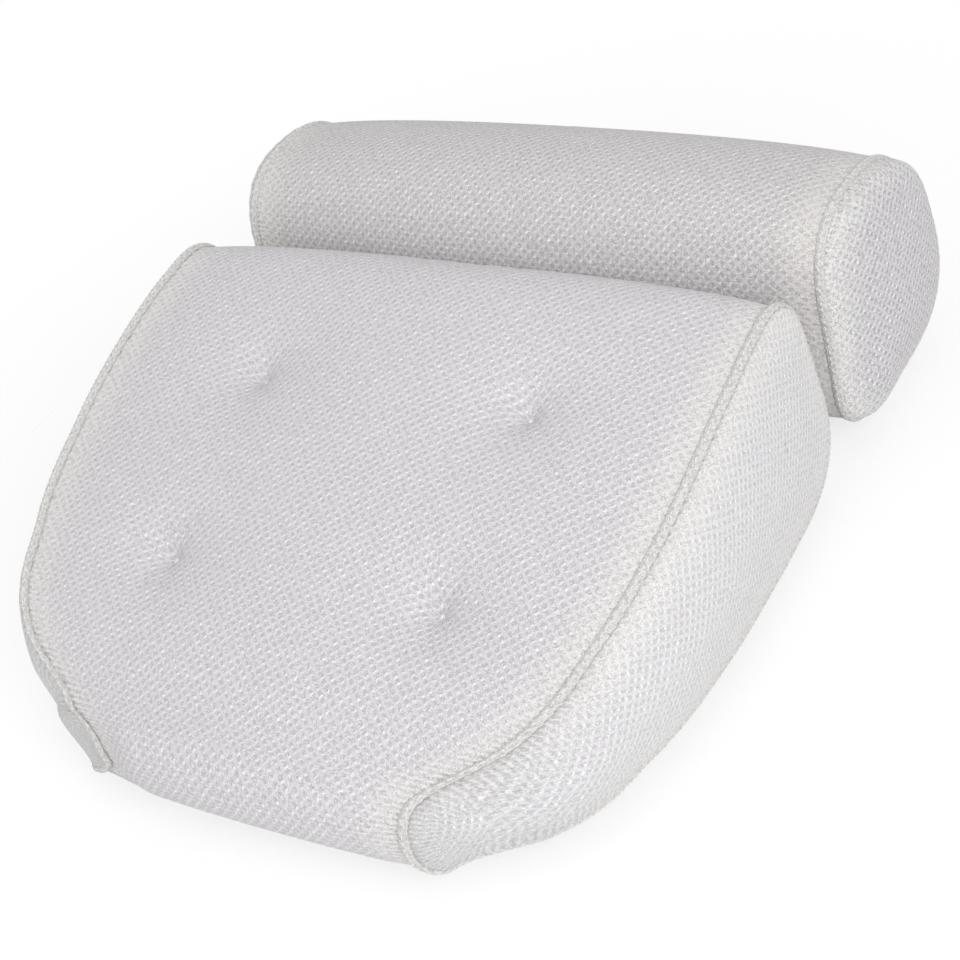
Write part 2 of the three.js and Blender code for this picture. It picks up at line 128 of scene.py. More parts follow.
HEART_SHARES = [0.05, 0.83]
TUFT = {"x": 77, "front": 77, "back": 175, "depth": 16, "reach": 17}
TUFTS = {
    f"{row}_{hand}": (side * TUFT["x"], TUFT[row])
    for row in ("front", "back") for hand, side in HANDS
}
ROLL = {
    "front": 277, "depth": 114, "height": 116, "half_width": 167, "lean": 16,
    "back_drop": 10, "back_lean": 8, "heart": (69, 69), "foot_reach": 28, "front_reach": 44,
    "back_reach": 40, "heel_reach": 56, "crown": 5.7, "crown_slack": 0.5, "end_bulge": 14.5,
    "fullness": {-1: 2.8, 1: 5.0}, "least_fullness": 1.6, "full_toward": (0.98, -0.2),
    "knit_turn": -13.0, "binding_sink": -1.6,
}
SEAM = {"dip": 1.5, "power": 8, "allowance": 3.7, "rim": 3.4, "crown_power": 2.2}
print("the packed part was moved by", round(SHIFT, 3), "mm along Y")

# %% [markdown]
# Seen from the side, the wedge is a closed line: a round nose, a top that climbs in a smooth curve, a
# rounded back corner and heel, and a flat underside. Each stretch could be drawn by hand, but short
# formulas keep it equal to the CAD solid. The line is then sampled again in even steps, because a
# cloth simulation wants faces of about one size.

# %% The wedge's outline


def smooth_line(places, values):
    """A cubic through the points. The slope at a point is that between its two neighbours."""
    places, values = np.array(places, float), np.array(values, float)

    def at(where):
        """The value there: a blend of the two nearest values and of the slopes at them."""
        where = np.clip(where, places[0], places[-1])
        i = np.clip(np.searchsorted(places, where, side="right"), 1, len(places) - 1)
        start, end = places[i - 1], places[i]
        before = np.where(i > 1, i - 2, i)
        after = np.where(i < len(places) - 1, np.minimum(i + 1, len(places) - 1), i - 1)
        half = (end - start) / 2
        weight_before = half / (start - places[before])
        weight_after = half / (places[after] - end)
        p = (where - start) / (end - start)
        slope_in = weight_before * (values[i] - values[before])
        slope_out = weight_after * (values[after] - values[i - 1])
        first = (2 * p**3 - 3 * p**2 + 1) * values[i - 1] + (p**3 - 2 * p**2 + p) * slope_in
        second = (3 * p**2 - 2 * p**3) * values[i] + (p**3 - p**2) * slope_out
        return first + second

    return at


def bezier(points, steps):
    """Points of a Bezier curve: each one is a blend of the handles, taken pair by pair."""
    share = np.linspace(0, 1, steps + 1)[:, None, None]
    line = np.broadcast_to(np.array(points, float), (steps + 1, len(points), 2))
    while line.shape[1] > 1:
        line = line[:, :-1] * (1 - share) + line[:, 1:] * share
    return line[:, 0]


def toward(corner, other, reach):
    """The point that lies reach away from a corner, on the way to another point."""
    corner, other = np.array(corner, float), np.array(other, float)
    return corner + (other - corner) * reach / np.linalg.norm(other - corner)


def rounded(before, corner, after, reach, steps=24):
    """A corner rounded by a curve that starts and ends reach away from it."""
    return bezier([toward(corner, before, reach), corner, toward(corner, after, reach)], steps)


def arc_lengths(points):
    """Distance along a line from its first point: the running sum of its steps."""
    steps = np.linalg.norm(np.diff(points, axis=0), axis=1)
    return np.r_[0, np.cumsum(steps)]


def resample(line, steps):
    """The same line in even steps of its length."""
    run = arc_lengths(line)
    wanted = np.linspace(run[0], run[-1], steps + 1)
    return np.stack([np.interp(wanted, run, line[:, k]) for k in range(line.shape[1])], axis=1)


def smoothstep(value, low, high):
    """Goes from 0 to 1 between two values, level at both ends."""
    share = np.clip((value - low) / (high - low), 0, 1)
    return share * share * (3 - 2 * share)


rise_at = smooth_line(DEPTH_SHARES, RISE_SHARES)
spread_at = smooth_line(DEPTH_SHARES, SPREAD_SHARES)


def wedge_top(y):
    """Height of the top line over the underside: the nose's height, and a share of the climb."""
    climb = WEDGE["back_height"] - WEDGE["nose_height"]
    return WEDGE["nose_height"] + climb * rise_at(np.asarray(y, float) / WEDGE["depth"])


def wedge_half_width(y, z):
    """Half width that spreads from the nose back, and flares a little towards the underside."""
    spread = (WEDGE["half_width"] - WEDGE["nose_half_width"]) * spread_at(y / WEDGE["depth"])
    middle = wedge_top(y) / 2
    low = np.clip((middle - (z - LIFT)) / middle, 0, 1)
    nose = WEDGE["nose_draw"] * np.minimum(y, 0)
    near_nose = np.exp(-((y - WEDGE["nose_flare_at"]) / WEDGE["nose_flare_reach"]) ** 2)
    flare = WEDGE["base_flare"] + WEDGE["nose_flare"] * low * near_nose
    return WEDGE["nose_half_width"] + spread + flare * low + nose


NOSE_SAMPLES, TOP_SAMPLES, TOP_RUN = 60, 160, 0.7


def wedge_line():
    """The dense outline as (y, z), in pieces: nose, top, back and heel. The nose's handles stand four
    thirds of its bulge out. The smooth top ends a share of the way from the rear tufts to the back."""
    pull = WEDGE["nose_bulge"] * 4 / 3
    slope = (wedge_top(WEDGE["nose_bulge"]) - wedge_top(0)) / WEDGE["nose_bulge"]
    brow = float(wedge_top(0))
    handles = [(0, 0), (-pull, 0), (-pull, brow - slope * pull), (0, brow)]
    nose = bezier(handles, NOSE_SAMPLES)
    corner = (WEDGE["depth"] + WEDGE["back_run_out"], WEDGE["back_height"])
    foot = (WEDGE["depth"] + WEDGE["heel_run_out"], 0)
    last = TUFT["back"] + TOP_RUN * (corner[0] - WEDGE["back_reach"] - TUFT["back"])
    y = np.linspace(0, last, TOP_SAMPLES)
    top = np.stack([y, wedge_top(y)], axis=1)
    back = rounded((last, float(wedge_top(last))), corner, foot, WEDGE["back_reach"])
    heel = rounded(corner, foot, (0, 0), WEDGE["heel_reach"])
    return nose, top, back, heel


def cut_at_y(line, y):
    """Splits a line that runs along Y where it passes y."""
    z = np.interp(y, line[:, 0], line[:, 1])
    point = np.array([[y, z]])
    return np.r_[line[line[:, 0] < y], point], np.r_[point, line[line[:, 0] > y]]


NOSE_STEPS, FRONT_STEPS, MIDDLE_STEPS, REAR_STEPS, BACK_STEPS = 7, 13, 18, 7, 17
TOP_STEPS = NOSE_STEPS + FRONT_STEPS + MIDDLE_STEPS + REAR_STEPS


def wedge_outline():
    """Even samples of the closed outline from the nose tip over the top. Every point of the top half
    has a partner below it, so that the sides can be closed by upright rungs."""
    nose, top, back, heel = wedge_line()
    near, far = (share * WEDGE["depth"] for share in HEART_SHARES)
    half = len(nose) // 2
    first, rest = cut_at_y(top, near)
    front, rest = cut_at_y(rest, TUFT["front"])
    middle, rest = cut_at_y(rest, TUFT["back"])
    rear, rest = cut_at_y(rest, far)
    back_line = np.array([back[-1], heel[0]])
    rear_middle = back_line.mean(axis=0)[None]
    upper = [
        resample(np.r_[nose[half:], first[1:]], NOSE_STEPS),
        resample(front, FRONT_STEPS)[1:],
        resample(middle, MIDDLE_STEPS)[1:],
        resample(rear, REAR_STEPS)[1:],
        resample(np.r_[rest, back, rear_middle], BACK_STEPS)[1:],
    ]
    upper = np.concatenate(upper)
    lower_back = resample(np.r_[rear_middle, heel, [[far, 0]]], BACK_STEPS)[1:]
    matched = upper[NOSE_STEPS:TOP_STEPS, 0][::-1]
    under = np.stack([matched, np.zeros_like(matched)], axis=1)
    lower_nose = resample(np.r_[[[near, 0]], nose[:half + 1]], NOSE_STEPS)[1:-1]
    line = np.concatenate([upper, lower_back, under, lower_nose])
    return line + np.array([0, LIFT])


wedge_points = wedge_outline()
print("wedge outline:", len(wedge_points), "points")

# %% [markdown]
# The head roll's outline is a leaning loaf: four corners, each rounded by its own reach, with nearly
# flat stretches between them. It starts in the middle of its front.

# %% The roll's outline
ROLL_HALF_STEPS = 35


def roll_outline():
    """Even samples of the closed outline, from the middle of the front over the top."""
    foot, heel = (0, 0), (ROLL["depth"], 0)
    brow = (ROLL["lean"], ROLL["height"])
    back = (ROLL["depth"] - ROLL["back_lean"], ROLL["height"] - ROLL["back_drop"])
    curves = [
        rounded(foot, brow, back, ROLL["front_reach"]),
        rounded(brow, back, heel, ROLL["back_reach"]),
        rounded(back, heel, foot, ROLL["heel_reach"]),
        rounded(heel, foot, brow, ROLL["foot_reach"]),
    ]
    start = (curves[3][-1] + curves[0][0])[None] / 2
    end = (curves[1][-1] + curves[2][0])[None] / 2
    upper = resample(np.r_[start, curves[0], curves[1], end], ROLL_HALF_STEPS)
    lower = resample(np.r_[end, curves[2], curves[3], start], ROLL_HALF_STEPS)
    return np.r_[upper, lower[1:-1]] + np.array([ROLL["front"], LIFT])


roll_points = roll_outline()
print("roll outline:", len(roll_points), "points")

# %% [markdown]
# A cushion is one closed skin: a sleeve that wraps round the outline, and two bulging side panels
# that close its ends. Modelled by hand it would be pushed and pulled. Here it is a grid. Rows go
# round the outline, and columns run from the heart of the left panel, across the sleeve, to the heart
# of the right panel. Keeping the grid through the simulation keeps the lines of the knit too. The
# wedge's front left corner is squeezed in on the photograph, so every piece of it is moved by one
# same function.

# %% The skin of a cushion as one grid
RING_SHARES = np.array([0, 0.03, 0.08, 0.16, 0.28, 0.42, 0.58, 0.76, 0.92])


def outline_normals(points):
    """Unit vectors that point out of a closed line, square to the way from each point's neighbours."""
    along = np.roll(points, -1, axis=0) - np.roll(points, 1, axis=0)
    along /= np.linalg.norm(along, axis=1)[:, None]
    return np.stack([-along[:, 1], along[:, 0]], axis=1)


def dimple(x, y, z):
    """Depth of the four tufts' pull: each falls away exponentially with the distance from it."""
    depth = np.zeros(np.broadcast(x, y, z).shape)
    for centre_x, centre_y in TUFTS.values():
        height = z - LIFT - wedge_top(centre_y)
        away = np.sqrt((x - centre_x) ** 2 + (y - centre_y) ** 2 + height**2)
        depth += TUFT["depth"] * np.exp(-away / TUFT["reach"])
    return np.where(z > LIFT + WEDGE["nose_height"] / 2, depth, 0)


def sleeve(cushion, across, inward=0.0):
    """Points of the sleeve for columns across. A point stands out from the outline along its normal
    by the crown, which fades to the seams, less the seam's dip and the tufts' pull."""
    points, normals = cushion["points"], cushion["normals"]
    half = cushion["half_widths"][:, None]
    x = across(half)
    y, z = points[:, :1], points[:, 1:]
    q = np.minimum(1, np.abs(x) / (half - SEAM["allowance"]))
    out = cushion["crowns"][:, None] * (1 - q ** SEAM["crown_power"]) - SEAM["dip"] * q ** SEAM["power"]
    out = out - cushion["pull"](x, y, z) - inward
    return np.stack([x, y + normals[:, :1] * out, z + normals[:, 1:] * out], axis=2)


def facing_share(normals, toward=(0.0, 1.0)):
    """Goes from 0 to 1 as the outline turns to face a direction, which is up if none is given."""
    return np.clip(0.5 + 0.5 * (normals @ np.array(toward)), 0, 1)


def side_rings(cushion, side, shares, inward=0.0, swelling=1.0):
    """Rings of a side panel, from the seam (share 0) to the heart. The panel stands out by a rounded
    share of its bulge, which rises beside the seam by its fullness and is level at the heart."""
    points, normals, hearts = cushion["points"], cushion["normals"], cushion["hearts"]
    share = shares[None, :, None]
    edge = points - normals * (SEAM["dip"] + inward)
    place = edge[:, None] * (1 - share) + hearts[:, None] * share
    share = share[..., 0]
    drawn = cushion["half_widths"][:, None] * (1 - share) + cushion["heart_widths"][:, None] * share
    sizes = cushion["sizes"]
    full = facing_share(normals, sizes["full_toward"])[:, None]
    power = sizes["least_fullness"] * (1 - full) + sizes["fullness"][side] * full
    swell = (1 - (1 - share) ** power) ** (1 / power) * cushion["bulge_at"](place[..., 0]) * swelling
    x = drawn + SEAM["rim"] + swell - inward
    return np.concatenate([side * x[..., None], place], axis=2)


PRESSED = {"in": 11.5, "back": 6.0, "reach": 50.0, "behind": 6, "rise": (-6, 14)}


def pressed(points):
    """The wedge's front left corner is squeezed in and back. The move is whole at the seam on the
    nose's tip, and fades towards the middle, behind the nose and down to the underside."""
    x, y, z = np.moveaxis(np.asarray(points, float), -1, 0)
    corner = -WEDGE["nose_half_width"]
    share = smoothstep(-y, -PRESSED["behind"], WEDGE["nose_bulge"])
    share = share * smoothstep(z - LIFT, *PRESSED["rise"])
    share = share * (1 - smoothstep(x, corner, corner + PRESSED["reach"]))
    return np.stack([x + PRESSED["in"] * share, y + PRESSED["back"] * share, z], axis=-1)


def skin_grid(cushion, inward=0.0, swelling=1.0):
    """The whole skin: left heart to left seam, the sleeve, and right seam to right heart."""
    left = side_rings(cushion, -1, RING_SHARES[::-1], inward, swelling)
    right = side_rings(cushion, 1, RING_SHARES, inward, swelling)
    return np.concatenate([left, sleeve(cushion, cushion["across"], inward), right], axis=1)


print("rings of a side panel:", len(RING_SHARES))

# %% [markdown]
# The wedge's columns pass through its tufts, so that each tuft is a point of the grid. The roll has
# no tufts, and its columns are even.

# %% The two cushions
INNER_COLUMNS, OUTER_COLUMNS, ROLL_COLUMNS = 14, 17, 29
UNDER_NOSE, UNDER_HEEL = 3, 4
WEDGE_RAMP = {"nose": (-8, 22), "heel": (0, 40)}
ROLL_RAMP = (1, 30)
FLAT = 0.5


def mirror(right):
    """Columns from the middle outwards, repeated on the left."""
    return np.concatenate([-right[:, :0:-1], right], axis=1)


def wedge_across(half):
    """Even columns from the middle to the tufts, and even ones from there to the seam."""
    inner = np.linspace(0, TUFT["x"], INNER_COLUMNS + 1)[None]
    share = np.linspace(0, 1, OUTER_COLUMNS + 1)[None, 1:]
    outer = TUFT["x"] * (1 - share) + half * share
    return mirror(np.concatenate([np.broadcast_to(inner, (len(half), inner.shape[1])), outer], axis=1))


def roll_across(half):
    """Even columns from the middle to the seam."""
    return mirror(half * np.linspace(0, 1, ROLL_COLUMNS + 1)[None])


def wedge_bulge(y):
    """How far the side panel stands out: less at the nose, full in the middle, less at the back."""
    start, end = WEDGE["nose_share"], WEDGE["rear_share"]
    from_nose = start + (1 - start) * smoothstep(y, -WEDGE["nose_bulge"], WEDGE["nose_end"])
    to_rear = 1 - (1 - end) * smoothstep(y, WEDGE["rear_start"], WEDGE["depth"])
    return WEDGE["side_bulge"] * from_nose * to_rear


def wedge_cushion(crown):
    """Everything that the skin of the wedge is worked out from. The crown fades in round the nose and
    out again towards the heel, and the underside has none."""
    points = wedge_points
    y, z = points.T
    nose_start = len(points) - UNDER_NOSE
    run = np.roll(arc_lengths(np.roll(points, UNDER_NOSE, axis=0)), -UNDER_NOSE)
    heel = TOP_STEPS + 2 * BACK_STEPS - UNDER_HEEL
    ramp = smoothstep(run, *WEDGE_RAMP["nose"]) * smoothstep(run[heel] - run, *WEDGE_RAMP["heel"])
    ramp[heel:nose_start] = 0
    heart_y = np.clip(y, *(share * WEDGE["depth"] for share in HEART_SHARES))
    hearts = np.stack([heart_y, LIFT + wedge_top(heart_y) / 2], axis=1)
    return {
        "points": points, "normals": outline_normals(points),
        "half_widths": wedge_half_width(y, z), "crowns": crown * ramp,
        "hearts": hearts, "heart_widths": wedge_half_width(*hearts.T),
        "bulge_at": wedge_bulge, "across": wedge_across, "pull": dimple,
        "heel": heel, "nose_start": nose_start, "sizes": WEDGE,
    }


def roll_cushion(crown):
    """Everything that the skin of the roll is worked out from. Its crown fades in above the foot."""
    points = roll_points
    height = points[:, 1] - LIFT
    under = np.flatnonzero(height < FLAT)
    half_widths = np.full(len(points), float(ROLL["half_width"]))
    heart = np.array([ROLL["front"] + ROLL["heart"][0], LIFT + ROLL["heart"][1]])
    return {
        "points": points, "normals": outline_normals(points),
        "half_widths": half_widths, "crowns": crown * smoothstep(height, *ROLL_RAMP),
        "hearts": np.broadcast_to(heart, (len(points), 2)), "heart_widths": half_widths,
        "bulge_at": lambda y: ROLL["end_bulge"] + 0 * y,
        "across": roll_across, "pull": lambda x, y, z: 0 * x,
        "heel": int(under[0]), "nose_start": int(under[-1]), "sizes": ROLL,
    }


MAKERS = {"wedge": wedge_cushion, "roll": roll_cushion}
cushions = {"wedge": wedge_cushion(WEDGE["crown"]), "roll": roll_cushion(ROLL["crown"])}
for name, cushion in cushions.items():
    print(name, "skin grid", skin_grid(cushion).shape, "heel row", cushion["heel"])

# %% [markdown]
# Grids become meshes here. The points of a grid go in as whole arrays, its faces are squares between
# neighbours, and a closed skin is capped by rungs that join each row to its partner on the far side.

# %% From a grid to a mesh


def grid_faces(rows, columns, closed):
    """The four corners of every square of a grid, whose last row may meet its first."""
    i = np.arange(rows if closed else rows - 1)[:, None]
    j = np.arange(columns - 1)[None]
    after = (i + 1) % rows
    corners = [i * columns + j, i * columns + j + 1, after * columns + j + 1, after * columns + j]
    return np.stack(np.broadcast_arrays(*corners), axis=-1).reshape(-1, 4)


def rungs(rows, columns, column):
    """Faces across the hole that a closed grid leaves at its first or last column."""
    i = np.arange(1, rows // 2 - 1)
    quads = np.stack([i, i + 1, rows - i - 1, rows - i], axis=1)
    ends = np.array([[0, 1, rows - 1], [rows // 2 - 1, rows // 2, rows // 2 + 1]])
    faces = [quads * columns + column, ends * columns + column]
    return [f if column == 0 else f[:, ::-1] for f in faces]


def new_object(name, points, faces):
    """An object at the origin whose mesh has these points, given in millimetres, and these faces."""
    mesh = bpy.data.meshes.new(name)
    flat = [face for group in faces for face in group.tolist()]
    packed = np.asarray(points, float).reshape(-1, 3) + np.array([0, SHIFT, 0])
    mesh.from_pydata((packed * MM).tolist(), [], flat)
    mesh.validate()
    mesh.update()
    obj = bpy.data.objects.new(name, mesh)
    bpy.context.scene.collection.objects.link(obj)
    return obj


def signed_volume(points, quads):
    """Volume inside a closed mesh of squares, which is negative if its faces point inwards."""
    p = points.reshape(-1, 3)
    a, b, c, d = (p[quads[:, k]] for k in range(4))
    return float((np.cross(b - a, c - a) * a).sum() + (np.cross(c - a, d - a) * a).sum()) / 6


def outward(grid, faces, *more):
    """The faces of a grid, and more that turn with them, so that they point outwards."""
    groups = [faces, *more]
    return groups if signed_volume(grid, faces) > 0 else [group[:, ::-1] for group in groups]


def skin_faces(grid):
    """Faces of a closed skin with both of its caps."""
    rows, columns = grid.shape[:2]
    caps = rungs(rows, columns, 0) + rungs(rows, columns, columns - 1)
    return outward(grid, grid_faces(rows, columns, True), *caps)


for name, cushion in cushions.items():
    grid = skin_grid(cushion)
    squares = grid_faces(*grid.shape[:2], True)
    print(name, "skin volume in litres:", round(abs(signed_volume(grid, squares)) / 1e6, 2))

# %% [markdown]
# Real air mesh is stretched over its filling, and pulls in only where it is sewn. Sculpting that by
# hand is slow, so a cloth simulation does it: the skin starts a little slack, its seams, tufts and
# underside are pinned, and pressure blows it up for twenty frames. A cap on how far a point may move
# keeps it inside the space of the CAD solid and clear of its neighbour across the hinge.

# %% Blow up the skins
SIM_FRAMES = 20
START_SWELLING = 0.85
TOP_CAP, FACING_CAP, SIDE_CAP = 4.0, 0.8, 2.5
FACING = {"wedge": 8, "roll": 22, "height": 95}
HELD_UNDER = 3
TUFT_HOLD = {"peak": 1.2, "reach": 5}
CLOTH = {
    "vertex_group_mass": "held", "quality": 6, "mass": 0.15, "air_damping": 2,
    "tension_stiffness": 12, "compression_stiffness": 12, "shear_stiffness": 6,
    "bending_stiffness": 0.6, "use_pressure": True, "uniform_pressure_force": 4.0,
}


def pins_and_caps(name, cushion, grid):
    """Which points are held, from 0 to 1, and how far in millimetres each one may move."""
    rows, columns = grid.shape[:2]
    rings = len(RING_SHARES)
    held = np.zeros((rows, columns))
    for column in (rings - 1, rings, columns - rings - 1, columns - rings):
        held[:, column] = 1
    under = slice(cushion["heel"] - HELD_UNDER, cushion["nose_start"] + 1)
    held[under, rings:columns - rings] = 1
    cap = np.full((rows, columns), TOP_CAP)
    cap[:, :rings] = SIDE_CAP
    cap[:, columns - rings:] = SIDE_CAP
    y, z = grid[..., 1], grid[..., 2]
    behind, before = WEDGE["depth"] - FACING["wedge"], ROLL["front"] + FACING["roll"]
    facing = (y > behind) if name == "wedge" else (y < before)
    cap = np.where(facing & (z < LIFT + FACING["height"]), FACING_CAP, cap)
    if name == "wedge":
        for centre_x, centre_y in TUFTS.values():
            away = np.hypot(grid[..., 0] - centre_x, y - centre_y)
            top = z > LIFT + WEDGE["nose_height"] / 2
            hold = np.clip(TUFT_HOLD["peak"] - away / TUFT_HOLD["reach"], 0, 1)
            held = np.where(top, np.maximum(held, hold), held)
    return held, cap


def blow_up(name, grid, held, cap):
    """Runs Cloth on the skin, and gives back its points with their moves cut down to the cap."""
    skin = new_object(name + "_blown", grid, skin_faces(grid))
    group = skin.vertex_groups.new(name="held")
    levels = np.round(held.reshape(-1), 2)
    for level in np.unique(levels[levels > 0]):
        group.add(np.flatnonzero(levels == level).tolist(), float(level), "REPLACE")
    cloth = skin.modifiers.new("cloth", "CLOTH")
    for setting, value in CLOTH.items():
        setattr(cloth.settings, setting, value)
    cloth.settings.effector_weights.gravity = 0
    cloth.collision_settings.use_collision = False
    cloth.collision_settings.use_self_collision = False
    scene = bpy.context.scene
    for step in range(1, SIM_FRAMES + 1):
        scene.frame_set(step)
    evaluated = skin.evaluated_get(bpy.context.evaluated_depsgraph_get())
    blown = np.empty(len(skin.data.vertices) * 3, np.float32)
    evaluated.data.vertices.foreach_get("co", blown)
    blown = blown.reshape(grid.shape) / MM - np.array([0, SHIFT, 0])
    bpy.data.objects.remove(skin)
    scene.frame_set(1)
    move = blown - grid
    length = np.linalg.norm(move, axis=2)
    print(name, "moved up to", round(float(length.max()), 1), "mm, mean", round(float(length.mean()), 2))
    return grid + move * np.minimum(1, cap / np.maximum(length, 1e-9))[..., None]


skins = {}
for name, cushion in cushions.items():
    slack = MAKERS[name](cushion["sizes"]["crown"] - cushion["sizes"]["crown_slack"])
    grid = skin_grid(slack, swelling=START_SWELLING)
    skins[name] = blow_up(name, grid, *pins_and_caps(name, slack, grid))

# %% [markdown]
# The simulated grid is coarse. Blender's subdivision would smooth it and lose the rows and columns,
# so the grid is doubled in numpy instead: each new point is nine sixteenths of its two neighbours
# less one sixteenth of the next two, which keeps every point that was there.

# %% Finer grids


def doubled(values, axis, closed):
    """Halves the steps of a grid along one axis with the four point rule."""
    values = np.moveaxis(values, axis, 0)
    if closed:
        before, after, last = np.roll(values, 1, 0), np.roll(values, -1, 0), np.roll(values, -2, 0)
        here = values
    else:
        first = 2 * values[:1] - values[1:2]
        end = 2 * values[-1:] - values[-2:-1]
        padded = np.concatenate([first, values, end])
        before, here, after, last = padded[:-3], padded[1:-2], padded[2:-1], padded[3:]
    between = (9 * (here + after) - before - last) / 16
    shape = (len(here) + len(between), *values.shape[1:])
    result = np.empty(shape)
    result[0::2], result[1::2] = here, between
    if not closed:
        result = np.concatenate([result, values[-1:]])
    return np.moveaxis(result, 0, axis)


def grid_normals(grid, closed):
    """Unit normals of a grid, from the cross product of its two directions."""
    along = np.gradient(grid, axis=0)
    if closed:
        along = (np.roll(grid, -1, 0) - np.roll(grid, 1, 0)) / 2
    normal = np.cross(along, np.gradient(grid, axis=1))
    return normal / np.maximum(np.linalg.norm(normal, axis=2), 1e-9)[..., None]


print("doubling is ready: 124 rows become", len(doubled(np.zeros((124, 3)), 0, True)))

# %% [markdown]
# Fabric is cut from flat cloth, so its knit can't slide about on the surface. Each panel therefore
# carries a map in metres of cloth: across the sleeve and along its outline, or the plane of the side.
# The map is squeezed where real mesh is stretched, beside the seams, and gathered towards each tuft,
# which makes the holes grow and point at it. Further values keep the distance to the nearest seam,
# the way along that seam, and how much the cloth is drawn together there.

# %% Panels with their cloth map
STRETCH, STRETCH_REACH = 0.34, 15.0
GATHER = {"pull": 4.4, "reach": 9.0, "core": 1.5}
DRAWN = {"sleeve": (0.3, 7.0), "side": (0.4, 10.0), "nose": (20, 80), "ends": (0.5, 0.95)}
PANEL_THICKNESS = 2.4
TURN_IN = 2.6
RIPPLE_PITCH = 2.65


def stretched(along, seam):
    """Cloth coordinate that runs slower than the surface beside a seam, so the knit shows larger."""
    return np.sign(along) * (np.abs(along) - STRETCH * STRETCH_REACH * np.exp(-seam / STRETCH_REACH))


def gathered(u, v, centres):
    """Moves cloth away from each tuft by an amount that fades out, so that more of it meets there."""
    for centre_u, centre_v in centres:
        away_u, away_v = u - centre_u, v - centre_v
        away = np.maximum(np.hypot(away_u, away_v), 1e-3)
        pull = GATHER["pull"] * np.exp(-away / GATHER["reach"]) * np.minimum(1, away / GATHER["core"])
        u, v = u + away_u / away * pull, v + away_v / away * pull
    return u, v


def unwrapped(mesh, values, whole):
    """Values at the corners of the faces. Where a face bridges the end of a closed loop and its start,
    the start counts as one whole loop more."""
    starts = np.empty(len(mesh.polygons), np.int32)
    mesh.polygons.foreach_get("loop_start", starts)
    peak = np.repeat(np.maximum.reduceat(values, starts), np.diff(np.r_[starts, len(values)]))
    return values + whole * (values < peak - whole / 2)


def keep(mesh, name, domain, values):
    """Keeps a number for each point or face corner of a mesh under a name."""
    attribute = mesh.attributes.new(name, "FLOAT", domain)
    attribute.data.foreach_set("value", np.asarray(values).reshape(-1).astype(np.float32))


def dress(obj, cloth_map=None, seam=None, run=None, gathering=None, map_whole=0.0, run_whole=0.0):
    """Puts on a mesh the cloth map in metres, the distance to the seam, the way along the seam and how
    much the cloth is gathered there, and shades it smooth."""
    mesh = obj.data
    corner = np.empty(len(mesh.loops), np.int32)
    mesh.loops.foreach_get("vertex_index", corner)
    if cloth_map is not None:
        flat = (cloth_map.reshape(-1, 2) * MM)[corner]
        if map_whole:
            flat[:, 1] = unwrapped(mesh, flat[:, 1], map_whole * MM)
        mesh.uv_layers.new(name="cloth").data.foreach_set("uv", flat.astype(np.float32).ravel())
    if seam is not None:
        keep(mesh, "seam_distance", "POINT", seam * MM)
    if run is not None:
        along = (run.reshape(-1) * MM)[corner]
        if run_whole:
            along = unwrapped(mesh, along, run_whole * MM)
        keep(mesh, "seam_run", "CORNER", along)
        keep(mesh, "gathering", "POINT", gathering)
    mesh.polygons.foreach_set("use_smooth", np.full(len(mesh.polygons), True))
    mesh.update()
    return obj


def thicken(obj, thickness):
    """Gives an open panel its wall, inwards from the face that shows."""
    wall = obj.modifiers.new("wall", "SOLIDIFY")
    wall.thickness = thickness * MM
    wall.offset = -1
    return obj


def gather_share(y, seam, base, reach):
    """How much the cloth is drawn together: it fades from the seam, and is strongest round the nose."""
    nose = 1 - smoothstep(y, *DRAWN["nose"])
    return (base + (1 - base) * nose) * np.exp(-seam / (reach * (1 + nose)))


def panel(name, grid, u, v, seam):
    """An open sheet of mesh fabric from a grid whose faces point outwards."""
    rows, columns = grid.shape[:2]
    obj = new_object(name, pressed(grid), [grid_faces(rows, columns, False)])
    drawn = gather_share(grid[..., 1], seam, *DRAWN["sleeve"])
    dress(obj, np.stack([u, v], axis=2), seam, v, drawn)
    return thicken(obj, PANEL_THICKNESS)


# %% [markdown]
# A sewn edge is never quite smooth. The mesh is eased onto the seam with small even puckers, and at a
# tuft it folds into short rays. Both are waves added along the normals, which fade within a
# centimetre or two.

# %% Puckers and rays
PUCKER = {"height": 0.38, "pitch": 9.5, "reach": 6.5, "rise": 2.5}
PUCKER_DRIFT = ((0.9, 23.0, 0.0), (0.6, 9.1, 1.3))
RAY = {"height": 0.45, "fine": 9, "broad": 5, "turn": 1.7, "core": 1.5, "rise": 4, "reach": 9.0}


def puckers(along, seam):
    """Height of the puckers: a wave along the seam, whose step drifts, times a fade with distance."""
    drift = sum(size * np.sin(along / length + start) for size, length, start in PUCKER_DRIFT)
    wave = np.sin(2 * np.pi * along / PUCKER["pitch"] + drift)
    fade = np.exp(-seam / PUCKER["reach"]) * np.minimum(1, seam / PUCKER["rise"])
    return PUCKER["height"] * wave * fade


def rays(x, v, centres):
    """Height of the rays: two waves round each tuft, nothing at its middle, which fade outwards."""
    height = np.zeros_like(x)
    for number, (centre_x, centre_v) in enumerate(centres):
        away = np.hypot(x - centre_x, v - centre_v)
        turn = np.arctan2(v - centre_v, x - centre_x)
        wave = np.cos(RAY["fine"] * turn + RAY["turn"] * number)
        wave += np.cos(RAY["broad"] * turn + number) / 2
        fade = np.clip((away - RAY["core"]) / RAY["rise"], 0, 1) * np.exp(-away / RAY["reach"])
        height += RAY["height"] * wave * fade
    return height


def tuft_places(run):
    """Where the tufts lie on the cloth: across the sleeve, and along the top from the nose."""
    top = wedge_points[:TOP_STEPS, 0]
    return [(x, float(np.interp(y, top, run[:TOP_STEPS]))) for x, y in TUFTS.values()]


